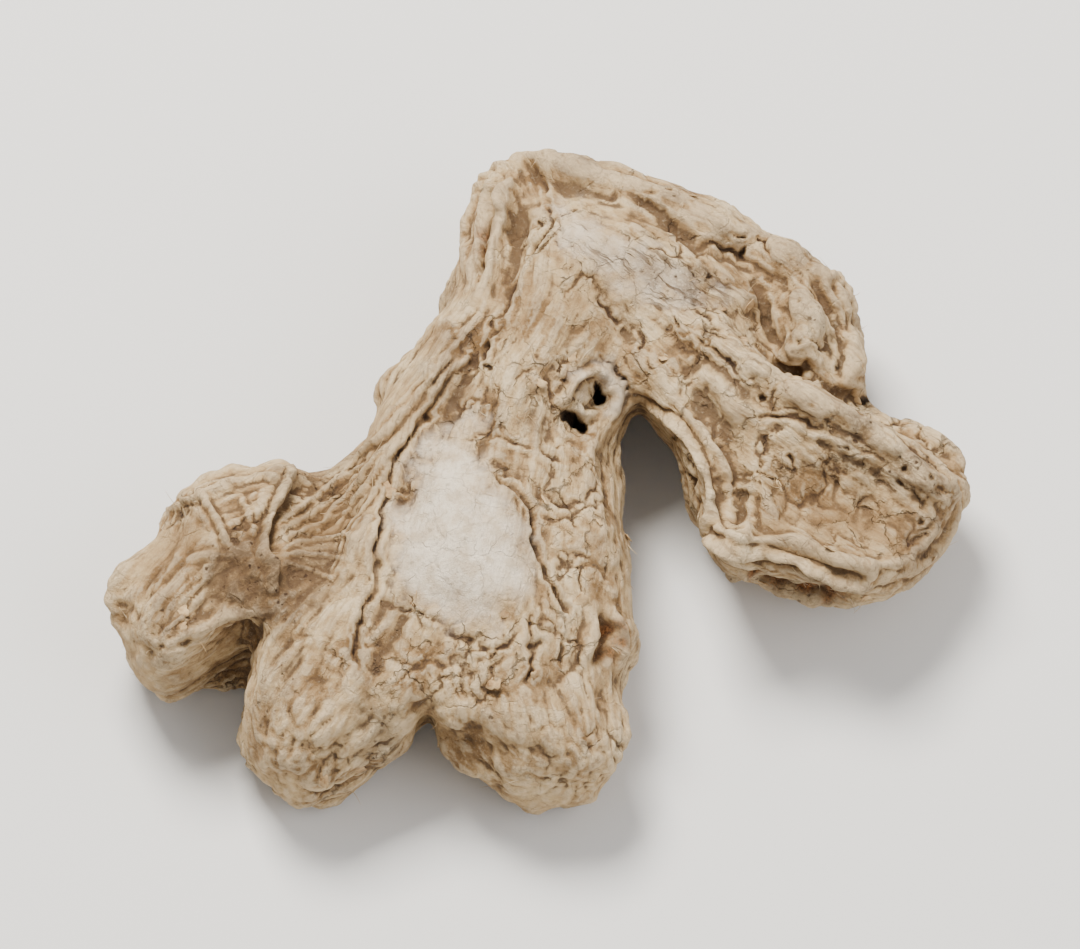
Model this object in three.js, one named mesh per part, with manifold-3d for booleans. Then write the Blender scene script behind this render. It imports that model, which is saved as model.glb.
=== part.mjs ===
// A dried ginger rhizome: one flattened, branching "hand" of ginger, lying on its broad side.
//
// Fresh ginger shrinks a great deal as it dries, so the skin folds into wrinkles that run along each
// finger, old leaf scars stand out as rings round it, and broken finger ends leave blunt stubs.
// The hand is one solid. It is described as a field that is negative inside the flesh: swollen
// fingers that run into each other, less the hollows and creases between them, and the skin's
// relief. A net of triangles is then wrapped round the field's zero surface.
//
// Millimetres, +Z up, +Y from the fingertips towards the crown, origin under the middle of the part.

import * as THREE from 'three';
import { ImprovedNoise } from 'three/addons/math/ImprovedNoise.js';
import { mergeVertices } from 'three/addons/utils/BufferGeometryUtils.js';
import Module from 'manifold-3d';

// Driving dimensions.
const HAND_WIDTH = 73.5;        // tip of the side finger to tip of the long arm
const REST_DEPTH = 1.15;        // how much of the lowest bulges is worn flat where the hand rests
const MID_HEIGHT = 8.0;         // the level between the upper and the under side
const EDGE_HEIGHT = 6.0;        // height of the zone where one side's folds fade into the other's
const CELL = 1.42;              // spacing of the net that is wrapped round the flesh
const RELIEF_REACH = 5;         // no skin relief is worked out farther than this from the surface
const BLEND_REACH = 1.6;        // how far one finger's wrinkles run on over its neighbour
const SECTION_POWER = 2.5;      // 2 gives oval sections, more gives flatter broad sides

// Each finger swells along a chain of stations: x, y, z, half width, half thickness.
// join is how softly it runs into the rest of the hand, rings are where old leaf scars circle it,
// counted in millimetres along the chain.
const FINGERS = {
  crown: {
    join: 4.0, rings: [],
    stations: [[-0.2, 18.2, 7.6, 5.7, 6.8], [1.8, 11.4, 8.4, 7.8, 7.2], [0.8, 5.5, 8.8, 7.8, 7.0]],
  },
  shoulder: {
    join: 3.0, rings: [10.5, 16.5],
    stations: [[3.2, 16.6, 8.4, 5.8, 6.6], [11.8, 13.0, 8.0, 7.0, 6.6], [19.8, 8.6, 6.6, 7.2, 6.2]],
  },
  arm: {
    join: 3.0, rings: [17.0, 22.5],
    stations: [[6.0, 12.5, 9.0, 7.4, 6.8], [17.4, 1.6, 9.2, 6.9, 6.6], [28.6, -6.7, 7.0, 7.2, 6.6]],
  },
  armHeel: {
    join: 3.0, rings: [],
    stations: [[18.5, -0.6, 8.6, 5.2, 6.2], [20.6, -7.4, 8.2, 5.8, 6.4], [25.0, -8.8, 7.8, 6.0, 6.2]],
  },
  leg: {
    join: 4.0, rings: [],
    stations: [[0.6, 8.0, 8.6, 7.6, 7.0], [-3.4, -2.0, 8.6, 9.8, 7.2], [-5.6, -13.0, 8.2, 12.3, 7.6],
      [-7.2, -17.6, 7.8, 12.2, 7.2]],
  },
  sideFinger: {
    join: 2.2, rings: [7.0, 13.0],
    stations: [[-14.0, -9.6, 7.0, 6.0, 5.6], [-24.4, -12.8, 7.4, 7.0, 6.0], [-29.4, -17.6, 7.2, 6.9, 6.6]],
  },
  leftFoot: {
    join: 2.2, rings: [8.0],
    stations: [[-12.4, -17.0, 7.6, 8.8, 7.0], [-19.6, -26.4, 6.2, 6.3, 6.5]],
  },
  rightFoot: {
    join: 2.2, rings: [6.5],
    stations: [[-2.6, -17.0, 7.6, 9.2, 6.8], [0.4, -27.4, 6.0, 6.3, 6.0]],
  },
};

// Narrow spaces between fingers, right through the hand: a path of x, y and half width.
const GAPS = [
  { join: 2.0, path: [[8.6, 1.6, 0.6], [9.9, -2.6, 3.0], [10.9, -9.5, 3.5], [12.6, -17, 5]] },
  { join: 1.8, path: [[-10.2, -26.0, 0.6], [-9.6, -34.0, 4.0]] },
  { join: 1.6, path: [[-18.4, -15.8, 0.3], [-24.4, -19.9, 1.3], [-29.5, -27.0, 3.4]] },
];

// Folds of the skin: positive heights are cords, negative ones creases. Each follows a path of x, y
// on the upper side (side 1) or the under side (side -1).
const FOLDS = [
  // The rolled edge of the crown and the crease inside it, out to the end of the shoulder.
  { side: 1, height: 1.0, width: 1.5,
    path: [[0.6, 24.0], [5.5, 22.4], [12.7, 19.2], [21.0, 15.0], [25.9, 10.6], [27.4, 4.8]] },
  { side: 1, height: -1.1, width: 1.4,
    path: [[3.2, 19.4], [9.2, 16.8], [13.7, 14.3], [17.3, 13.0], [20.6, 11.4]] },
  // The band down the left edge, from the crown to the foot, and the crease beside it.
  { side: 1, height: 1.2, width: 1.6,
    path: [[-3.2, 20], [-4.4, 15.4], [-5, 10.2], [-7.2, 4.6], [-11.2, -1.4], [-14.6, -7], [-14.8, -14]] },
  { side: 1, height: -1.1, width: 1.4,
    path: [[-1, 19.8], [-1.7, 14.8], [-2.6, 7.5], [-5.6, 1.2], [-9.8, -5.2], [-11.8, -12.2], [-12.6, -19]] },
  // The flap over the shoulder's end, and the crease that it hangs into.
  { side: 1, height: -1.7, width: 1.4, path: [[19.7, 10.4], [20.0, 6.6], [19.8, 4.6], [21.4, 2.4]] },
  { side: 1, height: 1.1, width: 1.7, path: [[22.2, 10.6], [22.8, 7.0], [23.0, 4.2]] },
  { side: 1, height: -0.7, width: 1.4, path: [[25.0, 10.6], [26.0, 7.2], [25.8, 3.6]] },
  // The cleft where the shoulder's end tucks behind the arm.
  { side: 1, height: -2.2, width: 1.6, path: [[30.2, -0.6], [26.2, 0.8], [23.2, 2.2], [19.6, 3.6]] },
  // The arm's long upper ridge, the rim of the gap, and the valley between rim and arm.
  { side: 1, height: 1.3, width: 1.7,
    path: [[11.4, 7.6], [17.4, 3.0], [23.2, -1.2], [28.6, -4.0], [32.4, -7.0]] },
  { side: 1, height: 1.3, width: 1.5,
    path: [[8.4, 3.4], [12.2, -2.0], [14.4, -6.2], [14.9, -10.2], [16.2, -14.0]] },
  { side: 1, height: -1.2, width: 1.4, path: [[11.6, 3.6], [14.4, -1.0], [16.6, -5.6], [17.2, -10.4]] },
  // The rim round the arm's dished end.
  { side: 1, height: 1.6, width: 1.5, path: [[16.2, -14.0], [20.4, -14.0], [24.0, -15.4], [27.0, -16.0]] },
  { side: 1, height: 1.0, width: 1.5, path: [[34.0, -7.6], [34.2, -11.6], [31.4, -14.8], [27.0, -16.0]] },
  // The pale ring between the side finger and the leg, and a smaller one across the finger.
  { side: 1, height: 1.4, width: 1.5, path: [[-20.8, -6.4], [-23.0, -10.6], [-23.8, -14.4], [-22.6, -18.6]] },
  { side: 1, height: 0.9, width: 1.4, path: [[-29.4, -8.8], [-28.6, -12.4], [-27.6, -15.6]] },
  // The crease down the front of the leg, beside the bare patch.
  { side: 1, height: -1.0, width: 1.4,
    path: [[-4.6, -6.2], [-1.2, -8.4], [0.0, -12.2], [1.0, -16.4], [2.6, -24.6]] },
  // The under side.
  { side: -1, height: -1.4, width: 1.5,
    path: [[-20.0, -8.0], [-15.5, -10.5], [-14.0, -16.5], [-17.0, -21.0]] },
  { side: -1, height: 1.1, width: 1.7,
    path: [[4.0, 21.0], [1.5, 13.0], [-2.0, 4.0], [-5.5, -8.0], [-3.0, -18.0]] },
  { side: -1, height: -1.3, width: 1.5, path: [[10.0, 18.0], [13.5, 13.0], [20.0, 6.0], [27.5, 1.5]] },
  { side: -1, height: 1.1, width: 1.6, path: [[12.0, 8.0], [18.5, 1.5], [23.0, -5.0], [22.5, -12.0]] },
  { side: -1, height: -1.3, width: 1.5, path: [[-9.5, -27.0], [-8.0, -18.0], [-9.5, -10.0]] },
  { side: -1, height: 1.1, width: 1.4, path: [[-27.5, -6.5], [-24.5, -12.0], [-26.0, -20.0]] },
];

// Broad swells and dips of a side: where, how high, and how far they reach in x and y.
const SWELLS = [
  { side: 1, height: -2.6, at: [26.0, -9.0], reach: [6.6, 3.9] },
  { side: 1, height: -1.5, at: [8.2, 5.8], reach: [4.4, 5.2] },
  { side: 1, height: 1.0, at: [-6.4, -12.4], reach: [5.2, 8.0] },
  { side: 1, height: 0.8, at: [6.5, 14.5], reach: [6.5, 4.0] },
  { side: 1, height: -1.0, at: [-18.6, -9.6], reach: [3.2, 5.6] },
  { side: -1, height: -1.4, at: [8.0, 8.0], reach: [6.0, 6.0] },
  { side: -1, height: -1.2, at: [-7.0, -9.0], reach: [6.0, 8.0] },
];

// Holes and torn pockets: blunt tubes of flesh that are gone, from one point to the next.
const HOLLOWS = [
  { radius: 1.2, join: 0.6, path: [[4.9, 0.4, 19.0], [4.6, 0.0, 12.6]] },
  { radius: 1.1, join: 0.6, path: [[2.8, -2.5, 19.0], [3.0, -2.7, 13.2]] },
  { radius: 2.5, join: 1.0, path: [[21.4, -16.0, 7.4], [25.6, -17.0, 7.4]] },
  { radius: 1.3, join: 1.0, path: [[7.4, -18.4, 14.4], [5.8, -21.6, 13.4]] },
];

// Bud scars: a low button at x, y, z.
const BUD_SCARS = [
  { at: [22.8, 5.0, 12.6], radius: 1.4, join: 0.9 },
  { at: [-33.6, -19.0, 9.6], radius: 1.8, join: 1.2 },
];

// The skin shrinks into lengthwise wrinkles and small lumps, and old leaf scars ring it.
const WRINKLES = { height: 1.2, spacing: 3.6, length: 18, wander: 1.6, wanderLength: 8 };
const LEAF_SCAR = { height: 1.1, width: 1.4, wander: 1.6 };
const LUMPS = [{ height: 0.9, size: 9.5 }, { height: 0.45, size: 4.9 }];

const FINGER_LIST = Object.values(FINGERS);
const noise = new ImprovedNoise();
const clamp = THREE.MathUtils.clamp;
const lerp = THREE.MathUtils.lerp;

// Joins two fields so that they run into each other over about the width given.
function joinSoftly(a, b, width) {
  const h = Math.max(width - Math.abs(a - b), 0) / width;
  return Math.min(a, b) - h * h * width / 4;
}

function cutSoftly(a, b, width) {
  return -joinSoftly(-a, b, width);
}

// Where a point lies against a finger: its distance from the surface, how far along the chain it
// is, and the point of a round section of the same girth that it lies beside.
function placeOnFinger(finger, x, y, z) {
  let found = null;
  let travelled = 0;
  for (let i = 0; i + 1 < finger.stations.length; i++) {
    const [ax, ay, az, aWidth, aThick] = finger.stations[i];
    const [bx, by, bz, bWidth, bThick] = finger.stations[i + 1];
    const dx = bx - ax, dy = by - ay;
    const length = Math.hypot(dx, dy);
    const t = clamp(((x - ax) * dx + (y - ay) * dy) / (length * length), 0, 1);
    const width = lerp(aWidth, bWidth, t);
    const thick = lerp(aThick, bThick, t);
    const across = Math.hypot(x - ax - t * dx, y - ay - t * dy);
    const height = z - lerp(az, bz, t);
    const u = across / width, v = Math.abs(height) / thick;
    const reach = Math.pow(u ** SECTION_POWER + v ** SECTION_POWER, 1 / SECTION_POWER);
    const distance = (reach - 1) * Math.min(width, thick);
    if (!found || distance < found.distance) {
      const aside = (dx * (y - ay) - dy * (x - ax)) / length;
      const round = (width + thick) / 2 / (Math.hypot(aside, height) || 1);
      const along = travelled + ((x - ax) * dx + (y - ay) * dy) / length;
      found = { distance, along, u: aside * round, v: height * round };
    }
    travelled += length;
  }
  return found;
}

function distanceToPath(path, x, y, z) {
  let nearest = Infinity;
  for (let i = 0; i + 1 < path.length; i++) {
    const [ax, ay, az] = path[i];
    const dx = path[i + 1][0] - ax, dy = path[i + 1][1] - ay, dz = path[i + 1][2] - az;
    const t = clamp(((x - ax) * dx + (y - ay) * dy + (z - az) * dz) / (dx * dx + dy * dy + dz * dz), 0, 1);
    nearest = Math.min(nearest, Math.hypot(x - ax - t * dx, y - ay - t * dy, z - az - t * dz));
  }
  return nearest;
}

// The distance on the plan from a point to a path, less the half width that the path has there.
function nearestOnPlan(path, x, y) {
  let nearest = Infinity;
  for (let i = 0; i + 1 < path.length; i++) {
    const [ax, ay, aWidth = 0] = path[i];
    const [bx, by, bWidth = 0] = path[i + 1];
    const dx = bx - ax, dy = by - ay;
    const t = clamp(((x - ax) * dx + (y - ay) * dy) / (dx * dx + dy * dy), 0, 1);
    nearest = Math.min(nearest, Math.hypot(x - ax - t * dx, y - ay - t * dy) - lerp(aWidth, bWidth, t));
  }
  return nearest;
}

// Wrinkles that run along a finger, and the rings of old leaf scars that circle it.
function wrinkleHeight(finger, { along, u, v }) {
  const { spacing, length, wanderLength } = WRINKLES;
  const sway = WRINKLES.wander * noise.noise(u / wanderLength, v / wanderLength, along / wanderLength);
  const fold = Math.abs(noise.noise((u + sway) / spacing, (v + sway) / spacing, along / length));
  let height = WRINKLES.height * (1 - 2.4 * fold);
  for (const ring of finger.rings) {
    const off = along - ring - LEAF_SCAR.wander * noise.noise(u / wanderLength, v / wanderLength, ring);
    height += LEAF_SCAR.height * Math.exp(-((off / LEAF_SCAR.width) ** 2));
  }
  return height;
}

function lumpHeight(x, y, z) {
  return LUMPS.reduce((sum, { height, size }) => sum + height * noise.noise(x / size, y / size, z / size), 0);
}

// Folds, swells and dips of the upper and the under side.
function sideHeight(x, y, z) {
  const upper = THREE.MathUtils.smoothstep(z, MID_HEIGHT - EDGE_HEIGHT / 2, MID_HEIGHT + EDGE_HEIGHT / 2);
  let height = 0;
  for (const fold of FOLDS) {
    const facing = fold.side > 0 ? upper : 1 - upper;
    if (facing === 0) continue;
    height += facing * fold.height * Math.exp(-((nearestOnPlan(fold.path, x, y) / fold.width) ** 2));
  }
  for (const swell of SWELLS) {
    const facing = swell.side > 0 ? upper : 1 - upper;
    const off = Math.hypot((x - swell.at[0]) / swell.reach[0], (y - swell.at[1]) / swell.reach[1]);
    height += facing * swell.height * Math.exp(-(off ** 2));
  }
  return height;
}

// The whole hand: negative inside the flesh, positive outside.
function fleshField(x, y, z) {
  let field = Infinity;
  let relief = 0;
  let weights = 0;
  const places = FINGER_LIST.map((finger) => placeOnFinger(finger, x, y, z));
  FINGER_LIST.forEach((finger, n) => {
    field = n === 0 ? places[n].distance : joinSoftly(field, places[n].distance, finger.join);
  });
  for (const gap of GAPS) field = cutSoftly(field, nearestOnPlan(gap.path, x, y), gap.join);
  if (Math.abs(field) > RELIEF_REACH) return field;
  FINGER_LIST.forEach((finger, n) => {
    const weight = Math.exp(-places[n].distance / BLEND_REACH);
    relief += weight * wrinkleHeight(finger, places[n]);
    weights += weight;
  });
  field -= relief / weights + lumpHeight(x, y, z) + sideHeight(x, y, z);
  for (const { at, radius, join } of BUD_SCARS) {
    field = joinSoftly(field, Math.hypot(x - at[0], y - at[1], z - at[2]) - radius, join);
  }
  for (const hollow of HOLLOWS) {
    field = cutSoftly(field, distanceToPath(hollow.path, x, y, z) - hollow.radius, hollow.join);
  }
  return field;
}

// Wraps a net of four-sided meshes round the field's zero surface: one knot in each cell that the
// surface crosses, drawn onto the surface, and two triangles for each grid edge that it crosses.
function wrapNet(field, low, high, cell) {
  const count = low.map((v, axis) => Math.ceil((high[axis] - v) / cell) + 1);
  const stride = [1, count[0], count[0] * count[1]];
  const at = (i, j, k) => i + j * stride[1] + k * stride[2];
  const value = new Float32Array(count[0] * count[1] * count[2]);
  for (let k = 0; k < count[2]; k++) {
    for (let j = 0; j < count[1]; j++) {
      for (let i = 0; i < count[0]; i++) {
        value[at(i, j, k)] = field(low[0] + i * cell, low[1] + j * cell, low[2] + k * cell);
      }
    }
  }
  fillPinches(value, stride);

  const knotOf = new Int32Array(value.length).fill(-1);
  const knots = [];
  for (let k = 0; k + 1 < count[2]; k++) {
    for (let j = 0; j + 1 < count[1]; j++) {
      for (let i = 0; i + 1 < count[0]; i++) {
        const middle = crossingMiddle(value, at(i, j, k), stride);
        if (!middle) continue;
        knotOf[at(i, j, k)] = knots.length / 3;
        const start = [i, j, k].map((v, axis) => low[axis] + (v + middle[axis]) * cell);
        knots.push(...drawOnto(field, start, cell));
      }
    }
  }

  const triangles = [];
  for (let k = 1; k + 1 < count[2]; k++) {
    for (let j = 1; j + 1 < count[1]; j++) {
      for (let i = 1; i + 1 < count[0]; i++) {
        const here = at(i, j, k);
        for (let axis = 0; axis < 3; axis++) {
          const inside = value[here] < 0;
          if (inside === value[here + stride[axis]] < 0) continue;
          const b = stride[(axis + 1) % 3], c = stride[(axis + 2) % 3];
          const ring = [here, here - b, here - b - c, here - c].map((n) => knotOf[n]);
          if (!inside) ring.reverse();
          triangles.push(...splitRing(ring, knots));
        }
      }
    }
  }
  const geometry = new THREE.BufferGeometry();
  geometry.setAttribute('position', new THREE.Float32BufferAttribute(knots, 3));
  geometry.setIndex(triangles);
  return geometry;
}

// Where two opposite corners of a grid square are flesh and the other two are not, the surface would
// pinch to an edge there, so the outer corner that is nearest the surface is filled.
function fillPinches(value, stride) {
  const justInside = -1e-3;
  const flesh = (n) => value[n] < 0;
  for (let filled = true; filled;) {
    filled = false;
    for (let axis = 0; axis < 3; axis++) {
      const b = stride[(axis + 1) % 3], c = stride[(axis + 2) % 3];
      for (let n = 0; n + b + c < value.length; n++) {
        const opposed = flesh(n) === flesh(n + b + c) && flesh(n + b) === flesh(n + c);
        if (!opposed || flesh(n) === flesh(n + b)) continue;
        const [first, second] = flesh(n) ? [n + b, n + c] : [n, n + b + c];
        value[value[first] < value[second] ? first : second] = justInside;
        filled = true;
      }
    }
  }
}

// The mean of the points where the surface crosses a cell's edges, in shares of the cell.
function crossingMiddle(value, here, stride) {
  const sum = [0, 0, 0];
  let crossings = 0;
  for (let axis = 0; axis < 3; axis++) {
    const b = (axis + 1) % 3, c = (axis + 2) % 3;
    for (let corner = 0; corner < 4; corner++) {
      const ub = corner & 1, uc = corner >> 1;
      const from = here + ub * stride[b] + uc * stride[c];
      const v0 = value[from], v1 = value[from + stride[axis]];
      if (v0 < 0 === v1 < 0) continue;
      sum[axis] += v0 / (v0 - v1);
      sum[b] += ub;
      sum[c] += uc;
      crossings++;
    }
  }
  return crossings ? sum.map((v) => v / crossings) : null;
}

// Moves a knot onto the zero surface in a few short steps along the field's slope.
function drawOnto(field, start, cell) {
  const point = [...start];
  const step = 0.05;
  for (let pass = 0; pass < 3; pass++) {
    const here = field(...point);
    const slope = point.map((v, axis) => {
      const ahead = [...point];
      ahead[axis] += step;
      return (field(...ahead) - here) / step;
    });
    const steep = slope.reduce((sum, v) => sum + v * v, 0) || 1;
    for (let axis = 0; axis < 3; axis++) {
      const moved = point[axis] - clamp(here / steep, -0.3, 0.3) * slope[axis];
      point[axis] = clamp(moved, start[axis] - 0.45 * cell, start[axis] + 0.45 * cell);
    }
  }
  return point;
}

// Splits a four-sided mesh along its shorter diagonal.
function splitRing([a, b, c, d], knots) {
  const gap = (m, n) => Math.hypot(...[0, 1, 2].map((axis) => knots[3 * m + axis] - knots[3 * n + axis]));
  return gap(a, c) < gap(b, d) ? [a, b, c, a, c, d] : [a, b, d, b, c, d];
}

const wasm = await Module();
wasm.setup();

function solidOf(geometry) {
  const bare = geometry.clone();
  bare.deleteAttribute('normal');
  bare.deleteAttribute('uv');
  const merged = mergeVertices(bare, 1e-4);
  return new wasm.Manifold(new wasm.Mesh({
    numProp: 3,
    vertProperties: merged.attributes.position.array,
    triVerts: new Uint32Array(merged.index.array),
  }));
}

function geometryOf(solid) {
  const mesh = solid.getMesh();
  const geometry = new THREE.BufferGeometry();
  geometry.setAttribute('position', new THREE.BufferAttribute(mesh.vertProperties, 3));
  geometry.setIndex(new THREE.BufferAttribute(mesh.triVerts, 1));
  geometry.computeVertexNormals();
  return geometry;
}

// The hand, worn flat under its lowest bulges, centred over the origin and set on the surface.
function makeHand() {
  const skin = wrapNet(fleshField, [-42, -38, -4], [42, 32, 22], CELL);
  skin.computeBoundingBox();
  const { min, max } = skin.boundingBox;
  const above = new THREE.BoxGeometry(200, 200, 100).translate(0, 0, min.z + REST_DEPTH + 50);
  const hand = geometryOf(solidOf(skin).intersect(solidOf(above)));
  hand.translate(-(min.x + max.x) / 2, -(min.y + max.y) / 2, -(min.z + REST_DEPTH));
  const grow = HAND_WIDTH / (max.x - min.x);
  hand.scale(grow, grow, grow);
  return hand;
}

const skin = new THREE.MeshStandardMaterial({ color: 0xb39a7c, roughness: 0.95, metalness: 0 });
const hand = new THREE.Mesh(makeHand(), skin);
hand.name = 'ginger_root';

const part = new THREE.Group();
part.add(hand);

export default part;
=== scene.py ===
# %% [markdown]
# # A dried ginger root
#
# This notebook dresses a rebuilt dried ginger rhizome: a flattened, branching "hand" with a crown, a
# broad leg that ends in two feet, a side finger, a shoulder and a long curved arm.
# The solid that the part is built from comes first, as a fixed frame. It has the right fingers, rims
# and hollows, but its skin is made of flat facets more than a millimetre wide.
# Here that solid gets the skin of the real thing, with its wrinkles, cracks, bare patches and fibres.

# %% Load the frame
import math
import random

import bpy
import numpy as np
from mathutils import Matrix, Vector, noise
from mathutils.bvhtree import BVHTree


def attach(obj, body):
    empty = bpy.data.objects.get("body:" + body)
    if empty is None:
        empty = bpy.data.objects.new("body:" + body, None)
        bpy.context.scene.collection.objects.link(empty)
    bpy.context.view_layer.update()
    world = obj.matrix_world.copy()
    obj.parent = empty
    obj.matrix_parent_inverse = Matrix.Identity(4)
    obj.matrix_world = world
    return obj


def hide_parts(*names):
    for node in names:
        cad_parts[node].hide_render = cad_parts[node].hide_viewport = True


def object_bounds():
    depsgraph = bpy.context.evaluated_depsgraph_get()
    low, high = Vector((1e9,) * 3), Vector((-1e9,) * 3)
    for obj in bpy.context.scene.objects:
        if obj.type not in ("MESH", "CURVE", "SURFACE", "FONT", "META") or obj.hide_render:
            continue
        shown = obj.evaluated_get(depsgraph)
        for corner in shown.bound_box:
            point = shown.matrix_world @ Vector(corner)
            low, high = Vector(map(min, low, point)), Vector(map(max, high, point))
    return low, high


MM = 0.001
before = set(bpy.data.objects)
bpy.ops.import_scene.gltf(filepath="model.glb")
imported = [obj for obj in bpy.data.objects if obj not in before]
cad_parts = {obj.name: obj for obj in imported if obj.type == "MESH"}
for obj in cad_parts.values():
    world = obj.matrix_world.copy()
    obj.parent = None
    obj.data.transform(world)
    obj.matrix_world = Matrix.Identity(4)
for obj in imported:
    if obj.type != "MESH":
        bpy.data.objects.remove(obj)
cad_low, cad_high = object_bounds()
cad_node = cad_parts["ginger_root"]
size = (cad_high - cad_low) / MM
print(f"The frame is {size.x:.1f} by {size.y:.1f} by {size.z:.1f} mm")


# %% [markdown]
# ## The camera
#
# The photograph looks down on the root at a steep slant from far away, so there is hardly any
# perspective. A long lens from one metre away gives the same view. The camera could be aimed by
# hand, but it is worked out from the object's own box, so it stays right if the part changes.

# %% Place the camera
VIEW_ELEVATION = math.radians(65)
CAMERA_DISTANCE = 1.0
FRAME_SHARE = 0.80          # how much of the picture's width the root takes up
SENSOR_WIDTH = 0.036


def add_camera():
    middle = (cad_low + cad_high) / 2
    away = Vector((0, -math.cos(VIEW_ELEVATION), math.sin(VIEW_ELEVATION)))
    bpy.ops.object.camera_add(location=middle + away * CAMERA_DISTANCE)
    camera = bpy.context.object
    camera.rotation_euler = (-away).to_track_quat("-Z", "Y").to_euler()
    camera.data.sensor_width = SENSOR_WIDTH / MM
    shown_width = (cad_high.x - cad_low.x) / FRAME_SHARE
    camera.data.lens = camera.data.sensor_width * CAMERA_DISTANCE / shown_width
    camera.data.clip_end = 20
    bpy.context.scene.camera = camera
    return camera


camera = add_camera()
print(f"The lens is {camera.data.lens:.0f} mm long")


# %% [markdown]
# ## The base of the skin
#
# A sculptor would copy the solid, remesh it into small even faces and then work on it with brushes.
# The same is done here. The voxel remesh gives faces of one size everywhere, so a wrinkle is as
# sharp on the arm as on the leg. Smoothing takes away the facets, and one subdivision leaves about
# a quarter of a millimetre between the points, which is fine enough for the thin cracks.

# %% Copy, remesh and smooth the solid
VOXEL = 0.52 * MM
SMOOTH_PASSES = 8


def apply_modifier(piece, kind, **settings):
    modifier = piece.modifiers.new(kind.title(), kind)
    for name, value in settings.items():
        setattr(modifier, name, value)
    bpy.context.view_layer.objects.active = piece
    bpy.ops.object.modifier_apply(modifier=modifier.name)


def copy_of_the_solid():
    bpy.ops.object.select_all(action="DESELECT")
    cad_node.select_set(True)
    bpy.context.view_layer.objects.active = cad_node
    bpy.ops.object.duplicate()
    skin = bpy.context.object
    skin.name = "root_skin"
    skin.parent = None
    for name in [key for key in skin.keys() if key.startswith("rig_")]:
        del skin[name]
    bpy.ops.object.mode_set(mode="EDIT")
    bpy.ops.mesh.select_all(action="SELECT")
    bpy.ops.mesh.remove_doubles(threshold=0.01 * MM)
    bpy.ops.object.mode_set(mode="OBJECT")
    skin.data.materials.clear()
    return skin


skin = copy_of_the_solid()
apply_modifier(skin, "REMESH", mode="VOXEL", voxel_size=VOXEL, use_smooth_shade=True)
apply_modifier(skin, "SMOOTH", factor=0.5, iterations=SMOOTH_PASSES)
apply_modifier(skin, "SUBSURF", levels=1, render_levels=1)
apply_modifier(skin, "TRIANGULATE")
print(f"The skin has {len(skin.data.polygons)} triangles")


# %% [markdown]
# ## Reading places off the photograph
#
# The cracks and folds are placed where the photograph shows them. Each is a short list of pixels
# read off the 1080 by 949 picture. One pixel is 0.284 mm on the part, and the picture
# looks down at the same slant as the camera, so a ray from each pixel meets the skin at the spot
# that it shows. Copying the points by hand onto the top view would shift them, because a high spot
# looks further up the picture than a low one.

# %% Cast a pixel of the photograph onto the skin
PIXEL = 0.2843 * MM
PHOTO_MIDDLE = (541.5, 308.2)         # the pixel that shows the point AIM
AIM = Vector((0, 2.15, 8)) * MM
TOWARDS = Vector((0, math.cos(VIEW_ELEVATION), -math.sin(VIEW_ELEVATION)))
PICTURE_UP = Vector((0, math.sin(VIEW_ELEVATION), math.cos(VIEW_ELEVATION)))

skin_tree = BVHTree.FromObject(skin, bpy.context.evaluated_depsgraph_get())


def on_skin(pixel):
    across = (pixel[0] - PHOTO_MIDDLE[0]) * PIXEL
    up = (PHOTO_MIDDLE[1] - pixel[1]) * PIXEL
    start = AIM + Vector((across, 0, 0)) + PICTURE_UP * up - TOWARDS * 0.2
    hit = skin_tree.ray_cast(start, TOWARDS)[0]
    if hit is None:
        level = start + TOWARDS * 0.2
        hit = skin_tree.find_nearest(level)[0]
    return hit


BUD_SCAR = on_skin((617.5, 276.5))
print("The bud scar is at", [round(v / MM, 1) for v in BUD_SCAR], "mm")


# %% [markdown]
# ## Which way the skin runs
#
# Ginger shrinks as it dries, and its skin folds along each finger, as a sleeve does on an arm.
# So every point of the skin needs to know where it is on its finger: how far along, how far to the
# side and how high. Each finger gets a middle line of a few points with a radius. These places
# aren't measured round the finger, because then all lines would meet in one spot at its tip. The
# skin near one finger belongs to it alone, and between two fingers the skin is shared smoothly.
# The lines are in three groups, so that no two fingers of one group touch. The materials later
# read the same three sets of places, and so the finest wrinkles run the same way as the big ones.

# %% Find each point's place on the fingers
FINGERS = [
    # the group, then the middle line: x, y, z and the radius, in millimetres
    (0, [(-0.4, 24.0, 8.2, 7), (1.6, 16.0, 9.0, 8), (0.4, 11.0, 9.2, 8), (-3.6, 2.8, 9.2, 9),
         (-5.8, -8.1, 8.9, 11), (-7.2, -12.6, 8.4, 11)]),
    (1, [(6.0, 17.0, 9.6, 7), (17.0, 6.3, 9.8, 7), (28.1, -1.9, 7.6, 7), (33.0, -5.5, 7.4, 5)]),
    (1, [(-14.0, -4.8, 7.7, 6), (-24.2, -7.9, 8.0, 7), (-29.2, -12.6, 7.9, 7)]),
    (1, [(-2.7, -12.0, 8.3, 8), (0.3, -22.3, 6.7, 6)]),
    (2, [(3.0, 21.1, 9.0, 6), (11.6, 17.6, 8.7, 7), (19.4, 13.2, 7.3, 7), (24.0, 9.0, 7.0, 6)]),
    (2, [(-12.4, -12.0, 8.3, 8), (-19.5, -21.4, 6.9, 6)]),
]
SHARE_REACH = 1.6           # how far a finger's wrinkles run on over its neighbour, in millimetres
BEND_REACH = 1.2            # how softly they turn where the finger bends


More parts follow.
